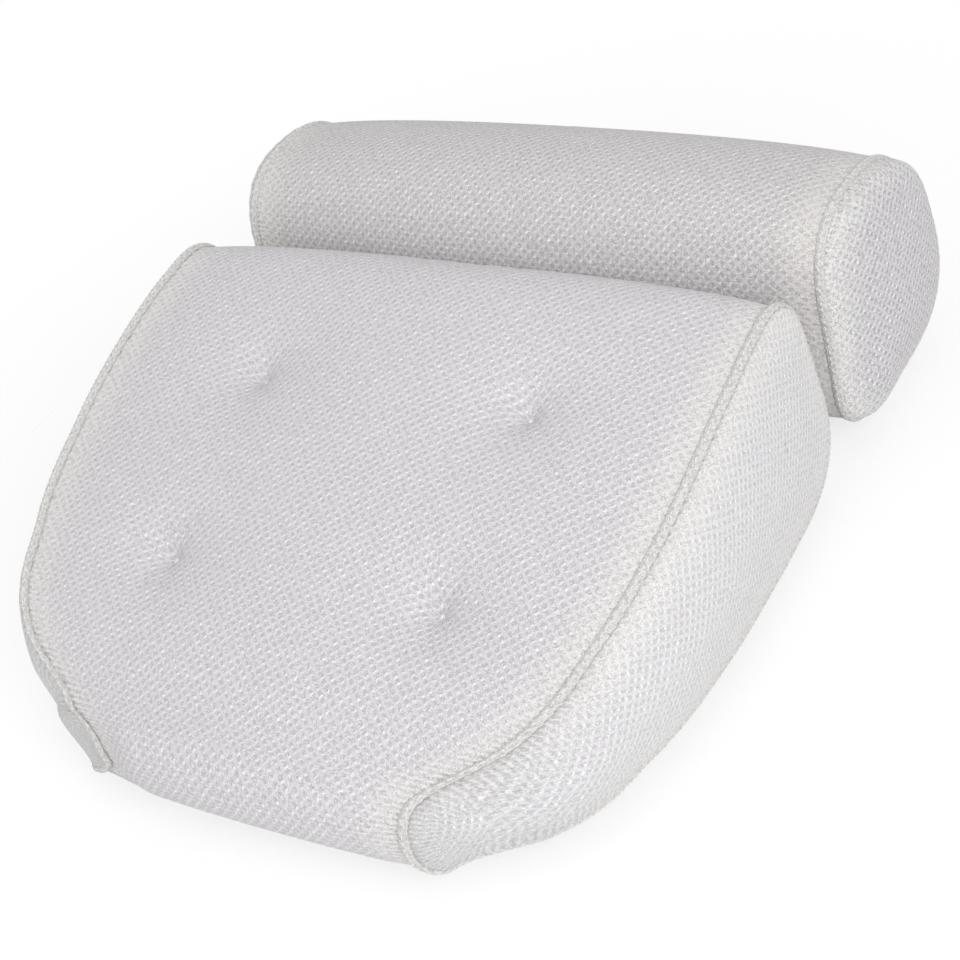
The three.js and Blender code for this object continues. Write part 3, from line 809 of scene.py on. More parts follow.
def sleeve_panels(name, cushion, skin):
    """The finished skin of a cushion, cut into its sleeve and its underside."""
    rings = len(RING_SHARES)
    grid = doubled(doubled(skin[:, rings:-rings], 0, True), 1, False)
    points = cushion["points"]
    run = arc_lengths(np.r_[points, points[:1]])
    v = doubled(run, 0, False)[:-1, None] + np.zeros(grid.shape[:2])
    half = doubled(cushion["half_widths"], 0, True)[:, None]
    x = grid[..., 0]
    seam = np.maximum(half - np.abs(x), 0)
    centres = tuft_places(run) if name == "wedge" else []
    u, v_cloth = gathered(stretched(x, seam), v, centres)
    grid = grid + grid_normals(grid, True) * (puckers(v, seam) + rays(x, v, centres))[..., None]
    rows = len(grid)
    start, heel = 2 * cushion["nose_start"], 2 * cushion["heel"]
    round_top = np.arange(start - rows, heel + 1)
    below = np.arange(heel, start + 1)
    pieces = {}
    for part, order in (("sleeve", round_top), ("underside", below)):
        at = order % rows
        cloth_v = v_cloth[at] + np.where(order < 0, -run[-1], 0)[:, None]
        pieces[part] = panel(f"{name}_{part}", grid[at], u[at], cloth_v, seam[at])
    return pieces


def unrolled(grid, seam, hearts, turn):
    """Cloth map of a bulging panel: each line from the seam to the heart is laid flat at its full
    length, and the whole map is turned by an angle."""
    edge = grid[:, 0, 1:] - hearts
    away = edge / np.maximum(np.linalg.norm(edge, axis=1), 1e-6)[:, None]
    left = seam[:, -1:] - seam + np.linalg.norm(grid[:, -1, 1:] - hearts, axis=1)[:, None]
    flat = hearts[:, None] + away[:, None] * left[..., None]
    u = flat[..., 0] * math.cos(turn) + flat[..., 1] * math.sin(turn)
    v = flat[..., 1] * math.cos(turn) - flat[..., 0] * math.sin(turn)
    return u, v


def side_panel(name, cushion, rings, side):
    """The finished side or end panel from its rings, ordered from the seam to the heart. Its edge is
    turned in under the binding."""
    turned_in = rings[:, :1].copy()
    turned_in[..., 0] -= side * TURN_IN
    grid = doubled(doubled(np.concatenate([turned_in, rings], axis=1), 0, True), 1, False)
    points = np.r_[cushion["points"], cushion["points"][:1]]
    run = arc_lengths(points)
    whole = run[-1]
    run = doubled(run, 0, False)[:len(grid), None]
    steps = np.linalg.norm(np.diff(grid, axis=1), axis=2)
    seam = np.concatenate([np.zeros((len(grid), 1)), np.cumsum(steps, axis=1)], axis=1)
    hearts, turn = doubled(cushion["hearts"], 0, True), math.radians(cushion["sizes"]["knit_turn"])
    u, v = unrolled(grid, seam, hearts, turn)
    grid = grid + side * grid_normals(grid, True) * puckers(run, seam)[..., None]
    rows, columns = grid.shape[:2]
    faces = [grid_faces(rows, columns, True), *rungs(rows, columns, columns - 1)]
    faces = faces if side > 0 else [face[:, ::-1] for face in faces]
    obj = new_object(name, pressed(grid), faces)
    ripples = round(whole / RIPPLE_PITCH) * RIPPLE_PITCH
    run = np.broadcast_to(run * (ripples / whole), seam.shape)
    drawn = gather_share(grid[..., 1], seam, *DRAWN["side"])
    drawn = drawn * (1 - smoothstep(seam / seam[:, -1:], *DRAWN["ends"]))
    dress(obj, np.stack([u, v], axis=2), seam, run, drawn, run_whole=ripples)
    return thicken(obj, PANEL_THICKNESS)


panels = {}
for name, cushion in cushions.items():
    skin, rings = skins[name], len(RING_SHARES)
    panels[name] = sleeve_panels(name, cushion, skin)
    word = "side" if name == "wedge" else "end"
    from_seam = {"left": skin[:, :rings][:, ::-1], "right": skin[:, -rings:]}
    for hand, side in HANDS:
        panels[name][hand] = side_panel(f"{name}_{hand}_{word}", cushion, from_seam[hand], side)
    print(name, {part: len(obj.data.polygons) for part, obj in panels[name].items()})

# %% [markdown]
# The shaders are sums on the cloth map, and sums are easier to read as Python than as a web of nodes.
# A small class wraps a socket so that plus, minus and times add the Math node. A second one holds the
# nodes of a material or of the sky, and one method of it adds any other node with its inputs.

# %% Shader sums


class Value:
    """A number that varies over a surface. Python's operators add the Math nodes behind it."""

    def __init__(self, nodes, socket):
        self.nodes, self.socket = nodes, socket

    def math(self, operation, *others):
        """What one Math node makes of this number and others."""
        return self.nodes.add("ShaderNodeMath", {"operation": operation}, [self, *others])

    def __add__(self, other):
        return self.math("ADD", other)

    def __sub__(self, other):
        return self.math("SUBTRACT", other)

    def __rsub__(self, other):
        return self.nodes.add("ShaderNodeMath", {"operation": "SUBTRACT"}, [other, self])

    def __mul__(self, other):
        return self.math("MULTIPLY", other)

    def __truediv__(self, other):
        return self.math("DIVIDE", other)

    def __pow__(self, other):
        return self.math("POWER", other)

    def __abs__(self):
        return self.math("ABSOLUTE")

    __radd__ = __add__
    __rmul__ = __mul__


class Nodes:
    """The nodes of a material or of the sky, which are added one by one."""

    def __init__(self, owner):
        owner.use_nodes = True
        self.tree = owner.node_tree
        self.tree.nodes.clear()

    def add(self, kind, settings=None, inputs=(), output=0):
        """Adds a node, sets it up, links or sets its inputs, and gives back one of its outputs."""
        node = self.tree.nodes.new(kind)
        for setting, value in (settings or {}).items():
            setattr(node, setting, value)
        pairs = inputs.items() if isinstance(inputs, dict) else enumerate(inputs)
        for key, value in pairs:
            if isinstance(value, Value):
                self.tree.links.new(value.socket, node.inputs[key])
            else:
                node.inputs[key].default_value = value
        return Value(self, node.outputs[output])

    def step(self, value, low, high):
        """Rises from 0 at low to 1 at high, level at both ends."""
        inputs = {"Value": value, "From Min": low, "From Max": high}
        return self.add("ShaderNodeMapRange", {"interpolation_type": "SMOOTHSTEP"}, inputs)

    def blend(self, share, first, second):
        """Mixes two colours by a share."""
        return self.add("ShaderNodeMix", {"data_type": "RGBA"}, {0: share, 6: first, 7: second}, 2)

    def parts(self, vector):
        """The three numbers of a vector."""
        node = self.add("ShaderNodeSeparateXYZ", {}, [vector]).socket.node
        return [Value(self, output) for output in node.outputs]

    def kept(self, name):
        """A value that is kept on the mesh under a name."""
        return self.add("ShaderNodeAttribute", {"attribute_name": name}, (), "Fac")

    def noise(self, vector, scale, detail, output="Fac"):
        """Soft noise from 0 to 1. Its output Color is three unlike noises."""
        inputs = {"Vector": vector, "Scale": scale, "Detail": detail}
        return self.add("ShaderNodeTexNoise", {}, inputs, output)

    def noises(self, vector, scale, detail):
        """Three unlike soft noises, from 0 to 1."""
        return self.parts(self.noise(vector, scale, detail, "Color"))

    def object_place(self):
        """The place of a point, in metres."""
        return self.add("ShaderNodeTexCoord", output="Object")

    def mixed(self, share, first, second):
        """A shader that goes from the first to the second by a share."""
        return self.add("ShaderNodeMixShader", {}, [share, first, second])

    def end(self, kind, shader):
        """Links the last shader to an output node."""
        self.tree.links.new(shader.socket, self.tree.nodes.new(kind).inputs["Surface"])


class Finish(Nodes):
    """A material whose nodes end in one Principled shader."""

    def __init__(self, name, **constants):
        self.material = bpy.data.materials.new(name)
        super().__init__(self.material)
        self.shader = self.tree.nodes.new("ShaderNodeBsdfPrincipled")
        self.end("ShaderNodeOutputMaterial", Value(self, self.shader.outputs[0]))
        for socket, value in constants.items():
            self.shader.inputs[socket.replace("_", " ")].default_value = value

    def surface(self, **links):
        """Links what varies to the shader's own sockets."""
        for socket, value in links.items():
            self.tree.links.new(value.socket, self.shader.inputs[socket.replace("_", " ")])

    def bump(self, height, depth, strength=1.0):
        """Turns a height from 0 to 1 into a normal, for a relief of this depth in metres."""
        inputs = {"Strength": strength, "Distance": depth, "Height": height}
        self.surface(Normal=self.add("ShaderNodeBump", {}, inputs))

    def two_tones(self, pattern, low, high, depth, strength):
        """Colours the material by a pattern from 0 to 1, which also stands out by a depth in
        millimetres, and gives it back."""
        self.surface(Base_Color=self.blend(pattern, low, high))
        self.bump(pattern, depth * MM, strength)
        return self.material


def tone(red, green, blue):
    """A colour given as it looks on a screen, from 0 to 255, as the linear numbers of a shader."""
    values = np.array([red, green, blue]) / 255
    linear = np.where(values <= 0.04045, values / 12.92, ((values + 0.055) / 1.055) ** 2.4)
    return (*(float(value) for value in linear), 1.0)


print("a middle grey is", round(tone(128, 128, 128)[0], 3), "to a shader")

# %% [markdown]
# Air mesh is a warp knit: a face of small diamond holes, through which the pile and the back show
# grey, deepened by painted shade in the holes. An image of it would repeat and blur. Here the holes
# are two interleaved grids of points, 5.3 by 5.1 millimetres, which is what the photographed knit
# measures. Between the holes run ribs of yarn, thick at the knots. The ribs that lean one way catch
# the light: they are raised a little, and painted with bright dashes of highlight.
#
# The rows wander a little, and loose fibres fray the rims. Beside a seam the knit is stretched flat:
# its tint turns warm, and its holes fade. Where the cloth is drawn together it shows close ripples
# instead, with painted highlights on their crests and painted shade between them. On the side panels
# the drawn cloth is darker too: partly its close knit, partly painted shade round the nose, where the
# panel turns down. A narrow crease of shadow ends at the binding.

# %% The knitted mesh
KNIT_PITCH = (5.3, 5.14)
WANDER, FRAY, LOOPS, FIBRES = (90.0, 2.0), (900.0, 3.0), (260.0, 1.0), (1500.0, 3.0)
WANDER_BY, FRAY_BY, RIPPLE_WANDER = 1.4, 2.4, 5
SPOT_CORE = 0.25
OPENING, LIT_LOOP, KNOT = (0.5, 0.44), (0.26, 0.38), (0.3, 0.3)
LOOP_LIGHT, LOOP_DARK = 3.6, 1.0
WARM, WARM_TINT, WARM_HOLES, WARM_LOOPS = (3, 26), 0.75, 0.25, 0.5
CREASE, CREASE_SHADE = (0.4, 2.6), 0.45
HOLE_SHADE, DRAWN_HOLES, LOOP_SHARE = 0.62, 0.6, 0.8
RIPPLE_CREST_HIGHLIGHT, RIPPLE_TROUGH_SHADE = 0.5, 0.6
LIGHT_FLECKS, DARK_FLECKS, FLECK_SHARE = (0.5, 0.66), (0.5, 0.68), 0.75
RELIEF = {"knot": 0.15, "loop": 0.3, "hole": 0.5, "ripple": 0.6, "depth": 0.6, "strength": 0.8}
RIPPLE_HIGHLIGHT_TONE, LOOP_HIGHLIGHT_TONE = tone(240, 239, 236), tone(246, 245, 246)
FLECK_TONE, CREASE_TONE = tone(240, 239, 240), tone(140, 137, 134)


def knit_cell(u, v, pitch):
    """Place within the nearest hole's cell, from -0.5 to 0.5 along both directions."""
    across, along = u / (pitch[0] * MM), v / (pitch[1] * MM)
    first = [part.math("FRACT") - 0.5 for part in (across, along)]
    second = [(part + 0.5).math("FRACT") - 0.5 for part in (across, along)]
    reach = [abs(x) ** 2 + abs(y) ** 2 for x, y in (first, second)]
    nearer = reach[0].math("LESS_THAN", reach[1])
    return [b + (a - b) * nearer for a, b in zip(first, second)]


def spot(finish, across, along, size):
    """A soft oval: 1 in its middle, and 0 from its edge outwards."""
    away = (abs(across / size[0]) ** 2 + abs(along / size[1]) ** 2).math("SQRT")
    return 1 - finish.step(away, SPOT_CORE, 1.0)


def strayed(value, wander, fray):
    """A cloth coordinate moved by a slow noise and by a fine one."""
    return value + (wander - 0.5) * (WANDER_BY * MM) + (fray - 0.5) * (FRAY_BY * MM)


def air_mesh(name, rib, hole, cream, pitch=KNIT_PITCH, drawn_shade=0.0):
    """Knitted mesh in three colours: its ribs, the depth of its holes, which is partly painted shade,
    and the tint by a seam.
    """
    finish = Finish(name, Roughness=0.8, Sheen_Weight=0.12)
    cloth = finish.add("ShaderNodeUVMap", {"uv_map": "cloth"})
    u, v, _ = finish.parts(cloth)
    wander, fray = finish.noises(cloth, *WANDER), finish.noises(cloth, *FRAY)
    x, y = knit_cell(strayed(u, wander[0], fray[0]), strayed(v, wander[1], fray[1]), pitch)
    along, across = x + y, x - y
    opening = spot(finish, across, along, OPENING)
    loop, shift, _ = finish.noises(cloth, *LOOPS)
    lit_loop = spot(finish, 0.5 - abs(across), along, LIT_LOOP) * (loop * LOOP_LIGHT - LOOP_DARK)
    knot = spot(finish, 0.5 - abs(across), 0.5 - abs(along), KNOT)
    light, fleck, _ = finish.noises(cloth, *FIBRES)
    seam, run, drawn = (finish.kept(key) for key in ("seam_distance", "seam_run", "gathering"))
    warm = 1 - finish.step(seam, *(away * MM for away in WARM))
    crease = 1 - finish.step(seam, *(away * MM for away in CREASE))
    turns = run * (2 * math.pi / (RIPPLE_PITCH * MM)) + (shift - 0.5) * RIPPLE_WANDER
    ripple = turns.math("SINE") * drawn
    yarn = finish.blend(warm * WARM_TINT, rib, cream)
    # The holes go towards the hole colour: partly the grey of the back, partly painted shade of their
    # depth.
    depth = opening * (HOLE_SHADE - warm * WARM_HOLES) * (1 - drawn * DRAWN_HOLES)
    # drawn_shade darkens the drawn cloth of the side panels: partly its close knit, partly painted shade
    # round the nose, where the panel turns down.
    shaded = finish.blend(depth + drawn * drawn_shade, yarn, hole)
    # Painted highlight on the ripples' crests, and painted shade between them.
    shaded = finish.blend(ripple * RIPPLE_CREST_HIGHLIGHT, shaded, RIPPLE_HIGHLIGHT_TONE)
    shaded = finish.blend(ripple * -RIPPLE_TROUGH_SHADE, shaded, hole)
    # Painted highlight: the loops that lean one way are mixed towards near white, less beside a seam.
    bright = finish.blend(lit_loop * (LOOP_SHARE - warm * WARM_LOOPS), shaded, LOOP_HIGHLIGHT_TONE)
    flecked = finish.blend(finish.step(light, *LIGHT_FLECKS) * FLECK_SHARE, bright, FLECK_TONE)
    flecked = finish.blend(finish.step(fleck, *DARK_FLECKS) * FLECK_SHARE, flecked, hole)
    finish.surface(Base_Color=finish.blend(crease * CREASE_SHADE, flecked, CREASE_TONE))
    height = knot * RELIEF["knot"] + lit_loop * RELIEF["loop"] - opening * RELIEF["hole"]
    height = height + (light - 0.5) + ripple * RELIEF["ripple"]
    finish.bump(height, RELIEF["depth"] * MM, RELIEF["strength"])
    return finish.material


top_mesh = air_mesh("top_mesh", tone(209, 206, 209), tone(172, 169, 173), tone(226, 224, 219))
# The side panels darken where their cloth is drawn together: partly painted shade round the nose.
side_mesh = air_mesh(
    "side_mesh", tone(213, 211, 213), tone(174, 172, 175), tone(227, 226, 221), drawn_shade=0.6,
)
# The roll's end panels and sleeve get darker copies of the mesh: painted shade, as the roll lies further
# back from the lamps and in the shade of the wedge.
shaded_end_mesh = air_mesh("shaded_end_mesh", tone(198, 195, 198), tone(138, 136, 141), tone(224, 223, 219))
shaded_roll_mesh = air_mesh("shaded_roll_mesh", tone(203, 199, 200), tone(164, 160, 160), tone(219, 216, 211))
under_mesh = air_mesh("under_mesh", tone(206, 204, 204), tone(170, 168, 170), tone(216, 214, 210))
print("meshes:", [made.name for made in (top_mesh, side_mesh, shaded_end_mesh, shaded_roll_mesh, under_mesh)])

# %% [markdown]
# Each panel now gets its mesh, the body that it moves with, and the CAD node that it stands for. One
# function does this for every piece of the scene. The panels lie on soft filling.

# %% Put the panels in place
BODY = {"wedge": "wedge", "roll": "head_roll"}
PANEL_WORK = {
    ("wedge", "sleeve"): ("wedge_top_cover", top_mesh, "air_mesh"),
    ("wedge", "underside"): ("wedge_base_panel", under_mesh, "air_mesh"),
    ("wedge", "left"): ("wedge_left_side_panel", side_mesh, "side_mesh"),
    ("wedge", "right"): ("wedge_right_side_panel", side_mesh, "side_mesh"),
    ("roll", "sleeve"): ("roll_cover", shaded_roll_mesh, "air_mesh"),
    ("roll", "underside"): ("roll_base_panel", under_mesh, "air_mesh"),
    ("roll", "left"): ("roll_left_end_panel", shaded_end_mesh, "side_mesh"),
    ("roll", "right"): ("roll_right_end_panel", shaded_end_mesh, "side_mesh"),
}


def place(obj, body, material, slot, *nodes):
    """Gives a piece its material, its body and the CAD nodes that it stands for. The slot is not used.
    A piece that lies between two bodies comes without one, and is left unattached."""
    obj.data.materials.append(material)
    if body is not None:
        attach(obj, body)
    if nodes:
        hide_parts(*nodes)


for (name, part), (node, material, slot) in PANEL_WORK.items():
    place(panels[name][part], BODY[name], material, slot, node)
print("panels in place:", len(PANEL_WORK))

# %% [markdown]
# Inside the covers lies a bag of polyester fibre. Nobody sees it while the pillow is whole, but it is
# what the cushions are made of, so it is here as a plain smooth form a little inside the panels.

# %% Fillings
FILLING_INSET = 5.2
CLUMPS, CLUMP_RELIEF = (120.0, 4.0), (1.5, 0.6)


def fibre():
    """Off white fibre, lightly mottled."""
    finish = Finish("fibre", Roughness=0.95)
    clumps = finish.noise(finish.object_place(), *CLUMPS)
    return finish.two_tones(clumps, tone(228, 228, 226), tone(246, 246, 244), *CLUMP_RELIEF)


fibre_material = fibre()
for name, cushion in cushions.items():
    grid = skin_grid(cushion, inward=FILLING_INSET)
    bag = new_object(name + "_fibre_bag", pressed(grid), skin_faces(grid))
    dress(bag)
    place(bag, BODY[name], fibre_material, "filling", name + "_filling")
print("fibre bags made")

# %% [markdown]
# Where sleeve and side meet, their edges are turned in and bound: on the real pillow a flat narrow
# band of mesh lies in the seam. It is a tube swept round the outline. A plain curve with a bevel
# would be round and even, so the tube is worked out: twice as wide as high, with round corners, and
# swelling a little where each rib of the knit is folded over it.

# %% Bound seams
import bmesh

BINDING = {
    "width": 2.5, "height": 1.2, "beads": 0.11, "pitch": 2.65, "squareness": 0.75,
    "stand_off": 0.15, "low_offset": 1.2, "girth": 4.4, "seam": 9.0, "doublings": 3,
}
TOUCHING = 0.01


def binding_offset(normals):
    """How far outside the outline's half width the binding lies: further out along the bottom."""
    return BINDING["stand_off"] + BINDING["low_offset"] * (1 - facing_share(normals))


def squared(wave):
    """A sine or cosine flattened at its ends, which gives a round tube its flat sides."""
    return np.sign(wave) * np.abs(wave) ** BINDING["squareness"]


def weld(obj):
    """Joins the points that lie on each other where a tube or a lathe closes."""
    mesh = bmesh.new()
    mesh.from_mesh(obj.data)
    bmesh.ops.remove_doubles(mesh, verts=mesh.verts, dist=TOUCHING * MM)
    mesh.to_mesh(obj.data)
    mesh.free()


def swept_binding(name, cushion, side, around=14):
    """A tube round the outline. Its section is a flat round-cornered band, which swells a little in
    step with the knit's ribs."""
    points, half = cushion["points"], cushion["half_widths"]
    for _ in range(BINDING["doublings"]):
        points, half = doubled(points, 0, True), doubled(half, 0, True)
    normals = outline_normals(points)
    run = arc_lengths(points)
    whole = run[-1] + np.linalg.norm(points[0] - points[-1])
    beads = round(whole / BINDING["pitch"])
    swell = 1 + BINDING["beads"] * np.cos(2 * np.pi * beads * run / whole)[:, None]
    angle = np.linspace(0, 2 * np.pi, around, endpoint=False)[None]
    out = cushion["sizes"]["binding_sink"] + BINDING["height"] * swell * squared(np.sin(angle))
    wide = BINDING["width"] * swell * squared(np.cos(angle))
    x = side * (half[:, None] + binding_offset(normals)[:, None] + wide)
    y = points[:, :1] + normals[:, :1] * out
    z = points[:, 1:] + normals[:, 1:] * out
    grid = np.stack([x, y, z], axis=2)
    grid = np.concatenate([grid, grid[:, :1]], axis=1)
    obj = new_object(name, pressed(grid), outward(grid, grid_faces(len(grid), around + 1, True)))
    reach = BINDING["width"] * BINDING["girth"]
    u = np.broadcast_to(np.linspace(0, reach, around + 1)[None], grid.shape[:2])
    v = np.broadcast_to(run[:, None] * (beads * BINDING["pitch"] / whole), grid.shape[:2])
    seam = np.full(grid.shape[:2], BINDING["seam"])
    dress(obj, np.stack([u, v], axis=2), seam, map_whole=beads * BINDING["pitch"])
    weld(obj)
    return obj


binding_mesh = air_mesh(
    "binding_mesh", tone(205, 203, 202), tone(168, 166, 165), tone(214, 212, 208), pitch=(3.4, 5.3),
)
for name, cushion in cushions.items():
    for hand, side in HANDS:
        binding = swept_binding(f"{name}_{hand}_binding", cushion, side)
        place(binding, BODY[name], binding_mesh, "binding", f"{name}_{hand}_seam_binding")
print("bindings made")

# %% [markdown]
# A row of lockstitches runs along the middle of each binding. A stitch is a short tube of thread that
# arches from one hole to the next. Curve objects with a bevel could do it, but a swept tube is one
# function, and all the stitches of a seam join into one mesh. The same function makes the tufts, the
# rows on the hinge and the boxes on the tabs.

# %% Threads and stitches
THREAD_RADIUS = 0.42
STEEP, TAPER = 0.8, 8
SUNK = 0.9
TWIST, TWIST_RELIEF = 7000.0, (0.08, 0.6)


def tube_along(path, radius, around=8):
    """A tube along a line of points: rings square to the line, closed to a point at both ends."""
    path = np.asarray(path, float)
    along = np.gradient(path, axis=0)
    along /= np.linalg.norm(along, axis=1)[:, None]
    helper = np.where(np.abs(along[:, 2:]) < STEEP, [[0, 0, 1.0]], [[1.0, 0, 0]])
    first = np.cross(along, helper)
    first /= np.linalg.norm(first, axis=1)[:, None]
    second = np.cross(along, first)
    share = np.linspace(0, 1, len(path))
    width = radius * np.sqrt(np.clip(1 - (2 * share - 1) ** TAPER, 0, 1))
    angle = np.linspace(0, 2 * np.pi, around, endpoint=False)[None, :, None]
    ring = np.cos(angle) * first[:, None] + np.sin(angle) * second[:, None]
    grid = path[:, None] + ring * width[:, None, None]
    grid = np.concatenate([grid, grid[:, :1]], axis=1)
    return grid, outward(grid, grid_faces(len(path), around + 1, False))[0]


def joined(name, parts):
    """One mesh from several grids with their faces."""
    points, faces, base = [], [], 0
    for grid, squares in parts:
        flat = grid.reshape(-1, 3)
        points.append(flat)
        faces.append(squares + base)
        base += len(flat)
    obj = new_object(name, pressed(np.concatenate(points)), faces)
    weld(obj)
    return dress(obj)


def stitch(start, end, out, radius=THREAD_RADIUS, arch=0.35, steps=6):
    """One stitch: a short arch of thread from one hole to the next, which dives in at both ends."""
    share = np.linspace(0, 1, steps + 1)[:, None]
    start, end, out = (np.asarray(p, float) for p in (start, end, out))
    lift = np.sin(np.pi * share) * (arch + radius) - radius * SUNK
    return tube_along(start + (end - start) * share + out * lift, radius, 6)


def thread_finish():
    """Spun polyester thread: a fine twist that shows as slanting light and dark."""
    finish = Finish("white_thread", Roughness=0.6, Sheen_Weight=0.1)
    x, y, z = finish.parts(finish.object_place())
    twist = ((x + y + z) * TWIST).math("SINE") * 0.5 + 0.5
    return finish.two_tones(twist, tone(214, 213, 210), tone(246, 245, 243), *TWIST_RELIEF)


white_thread = thread_finish()
SEAM_STITCH = {"pitch": 3.3, "length": 2.4, "above": 0.1, "arch": 0.08, "radius": 0.28}
SHORT_STEPS = 4


def seam_stitches(name, cushion, side):
    """A row of lockstitches along the middle of a binding, all the way round the outline."""
    points, normals = cushion["points"], cushion["normals"]
    half = cushion["half_widths"] + binding_offset(normals)
    line = np.column_stack([points, half, normals])
    line = np.r_[line, line[:1]]
    run = arc_lengths(line[:, :2])
    height = cushion["sizes"]["binding_sink"] + BINDING["height"] + SEAM_STITCH["above"]
    count = round(run[-1] / SEAM_STITCH["pitch"])
    step = run[-1] / count
    shape = SEAM_STITCH["radius"], SEAM_STITCH["arch"], SHORT_STEPS
    parts = []
    for number in range(count):
        ends = []
        for at in (number * step, number * step + SEAM_STITCH["length"]):
            y, z, width, out_y, out_z = (np.interp(at, run, column) for column in line.T)
            ends.append((side * width, y + out_y * height, z + out_z * height))
        parts.append(stitch(*ends, (0, out_y, out_z), *shape))
    return joined(name, parts)


for name, cushion in cushions.items():
    for hand, side in HANDS:
        seam = seam_stitches(f"{name}_{hand}_seam_stitches", cushion, side)
        place(seam, BODY[name], white_thread, "thread")
print("seams stitched")

# %% [markdown]
# Four tufts pull the top down to the underside. Each is a few turns of thread: a tight cross of
# stitches in the bottom of the dimple, a thread through the filling, and the same cross underneath.
# They could be set in the dimples by eye. Here the tufts are points of the simulated grid, so the
# crosses land exactly where the cloth was held.

# %% Tufts
CROSS = {"reach": 2.0, "apart": 0.5, "arch": 0.7, "steps": 8, "turn": 0.5, "turn_by": 0.3}
TIE = {"radius": 0.6, "inset": 0.3, "rings": 12}


def tuft_cross(x, y, z, out, turn):
    """Two crossing pairs of stitches on a spot, seen from the side that out points to."""
    parts = []
    for angle in (turn, turn + math.pi / 2):
        ray = np.array([math.cos(angle), math.sin(angle), 0]) * CROSS["reach"]
        beside = np.array([-math.sin(angle), math.cos(angle), 0]) * CROSS["apart"]
        for shift in (-beside, beside):
            ends = (np.array([x, y, z]) + shift + way for way in (-ray, ray))
            parts.append(stitch(*ends, (0, 0, out), arch=CROSS["arch"], steps=CROSS["steps"]))
    return parts


first_column, first_row = len(RING_SHARES) + OUTER_COLUMNS, NOSE_STEPS + FRONT_STEPS
tuft_columns = {-1: first_column, 1: first_column + 2 * INNER_COLUMNS}
tuft_rows = {TUFT["front"]: first_row, TUFT["back"]: first_row + MIDDLE_STEPS}
for number, (where, (x, y)) in enumerate(TUFTS.items()):
    top = skins["wedge"][tuft_rows[y], tuft_columns[int(np.sign(x))]]
    low = np.array([top[0], top[1], LIFT])
    turn = CROSS["turn"] + CROSS["turn_by"] * number
    parts = tuft_cross(*top, 1, turn) + tuft_cross(*low, -1, turn)
    inset = np.array([0, 0, TIE["inset"]])
    parts.append(tube_along(np.linspace(low + inset, top - inset, TIE["rings"]), TIE["radius"]))
    tuft = joined(where + "_tuft_stitches", parts)
    place(tuft, "wedge", white_thread, "thread", where + "_tuft_tie")
    print(where, "tuft at", [round(float(value), 1) for value in top])

# %% [markdown]
# The hinge is nothing but cloth: a strip of the same mesh, doubled and sewn flat under both cushions,
# that folds along one line. It is modelled as one strip, with a small ridge and quilting along the fold.

# %% Hinge strip
HINGE = {
    "start": 221.0, "end": 309.0, "half_width": 150.0, "height": 12.5, "thickness": 1.6,
    "rows": 89, "columns": 151, "edge": 0.8, "ridge": 0.75, "ridge_reach": 1.5,
    "quilt": 0.12, "quilt_pitch": 9.3, "quilt_reach": 6, "seam": 30.0, "bend": 4,
}


def hinge_grid(side):
    """One face of the strip: flat, with the fold's small ridge across it, and rounded long edges."""
    y = np.linspace(HINGE["start"], HINGE["end"], HINGE["rows"])[:, None]
    x = np.linspace(-HINGE["half_width"], HINGE["half_width"], HINGE["columns"])[None]
    half = HINGE["thickness"] / 2
    ridge = HINGE["ridge"] * np.exp(-((y - FOLD_LINE) / HINGE["ridge_reach"]) ** 2)
    inside = np.minimum(y - HINGE["start"], HINGE["end"] - y)
    edge = np.sqrt(np.clip(inside / HINGE["edge"], 0, 1))
    quilt = HINGE["quilt"] * np.cos(2 * np.pi * x / HINGE["quilt_pitch"])
    quilt = quilt * np.exp(-((y - FOLD_LINE) / HINGE["quilt_reach"]) ** 2)
    z = HINGE["height"] + side * (half * edge + ridge + quilt * edge)
    x, y = np.broadcast_arrays(x, y)
    return np.stack([x, y, z + 0 * x], axis=2)


def hinge_strip():
    """The strip's upper and lower faces, welded along the long edges and walled at both ends."""
    upper, lower = hinge_grid(1), hinge_grid(-1)
    rows, columns = upper.shape[:2]
    squares = grid_faces(rows, columns, False)
    count = rows * columns
    parts = [squares, squares[:, ::-1] + count]
    index = np.arange(count).reshape(rows, columns)
    for line in (index[:, 0], index[:, -1]):
        wall = np.stack([line[:-1], line[1:], line[1:] + count, line[:-1] + count], axis=1)
        parts.append(wall[:, ::-1] if line[0] else wall)
    both = np.concatenate([upper.reshape(-1, 3), lower.reshape(-1, 3)])
    obj = new_object("hinge_strip", both, parts)
    dress(obj, both[:, :2], np.full(len(both), HINGE["seam"]))
    weld(obj)
    return obj


strip = hinge_strip()
place(strip, None, under_mesh, "webbing", "wedge_hinge_strip", "roll_hinge_strip")
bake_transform(strip)

ROW = {"radius": 0.3, "arch": 0.12, "inset": 5, "apart": 3, "end": 3}
DOWN = (0, 0, -1)


def stitch_row(start, end, pitch=3.4, length=2.4):
    """A straight row of stitches from one point to another, on a face that looks down."""
    start, end = np.asarray(start, float), np.asarray(end, float)
    count = max(1, int(np.linalg.norm(end - start) / pitch))
    step = (end - start) / count
    reach = step * (length / np.linalg.norm(step))
    holes = [start + step * i for i in range(count)]
    return [stitch(hole, hole + reach, DOWN, ROW["radius"], ROW["arch"], SHORT_STEPS) for hole in holes]


edge, z = HINGE["half_width"] - ROW["end"], HINGE["height"] - HINGE["thickness"] / 2
for name, y in (("wedge", HINGE["start"] + ROW["inset"]), ("roll", HINGE["end"] - ROW["inset"])):
    rows = stitch_row((-edge, y, z), (edge, y, z))
    rows += stitch_row((-edge, y + ROW["apart"], z), (edge, y + ROW["apart"], z))
    place(joined(f"{name}_hinge_stitches", rows), BODY[name], white_thread, "thread")
print("hinge strip and its stitches made")

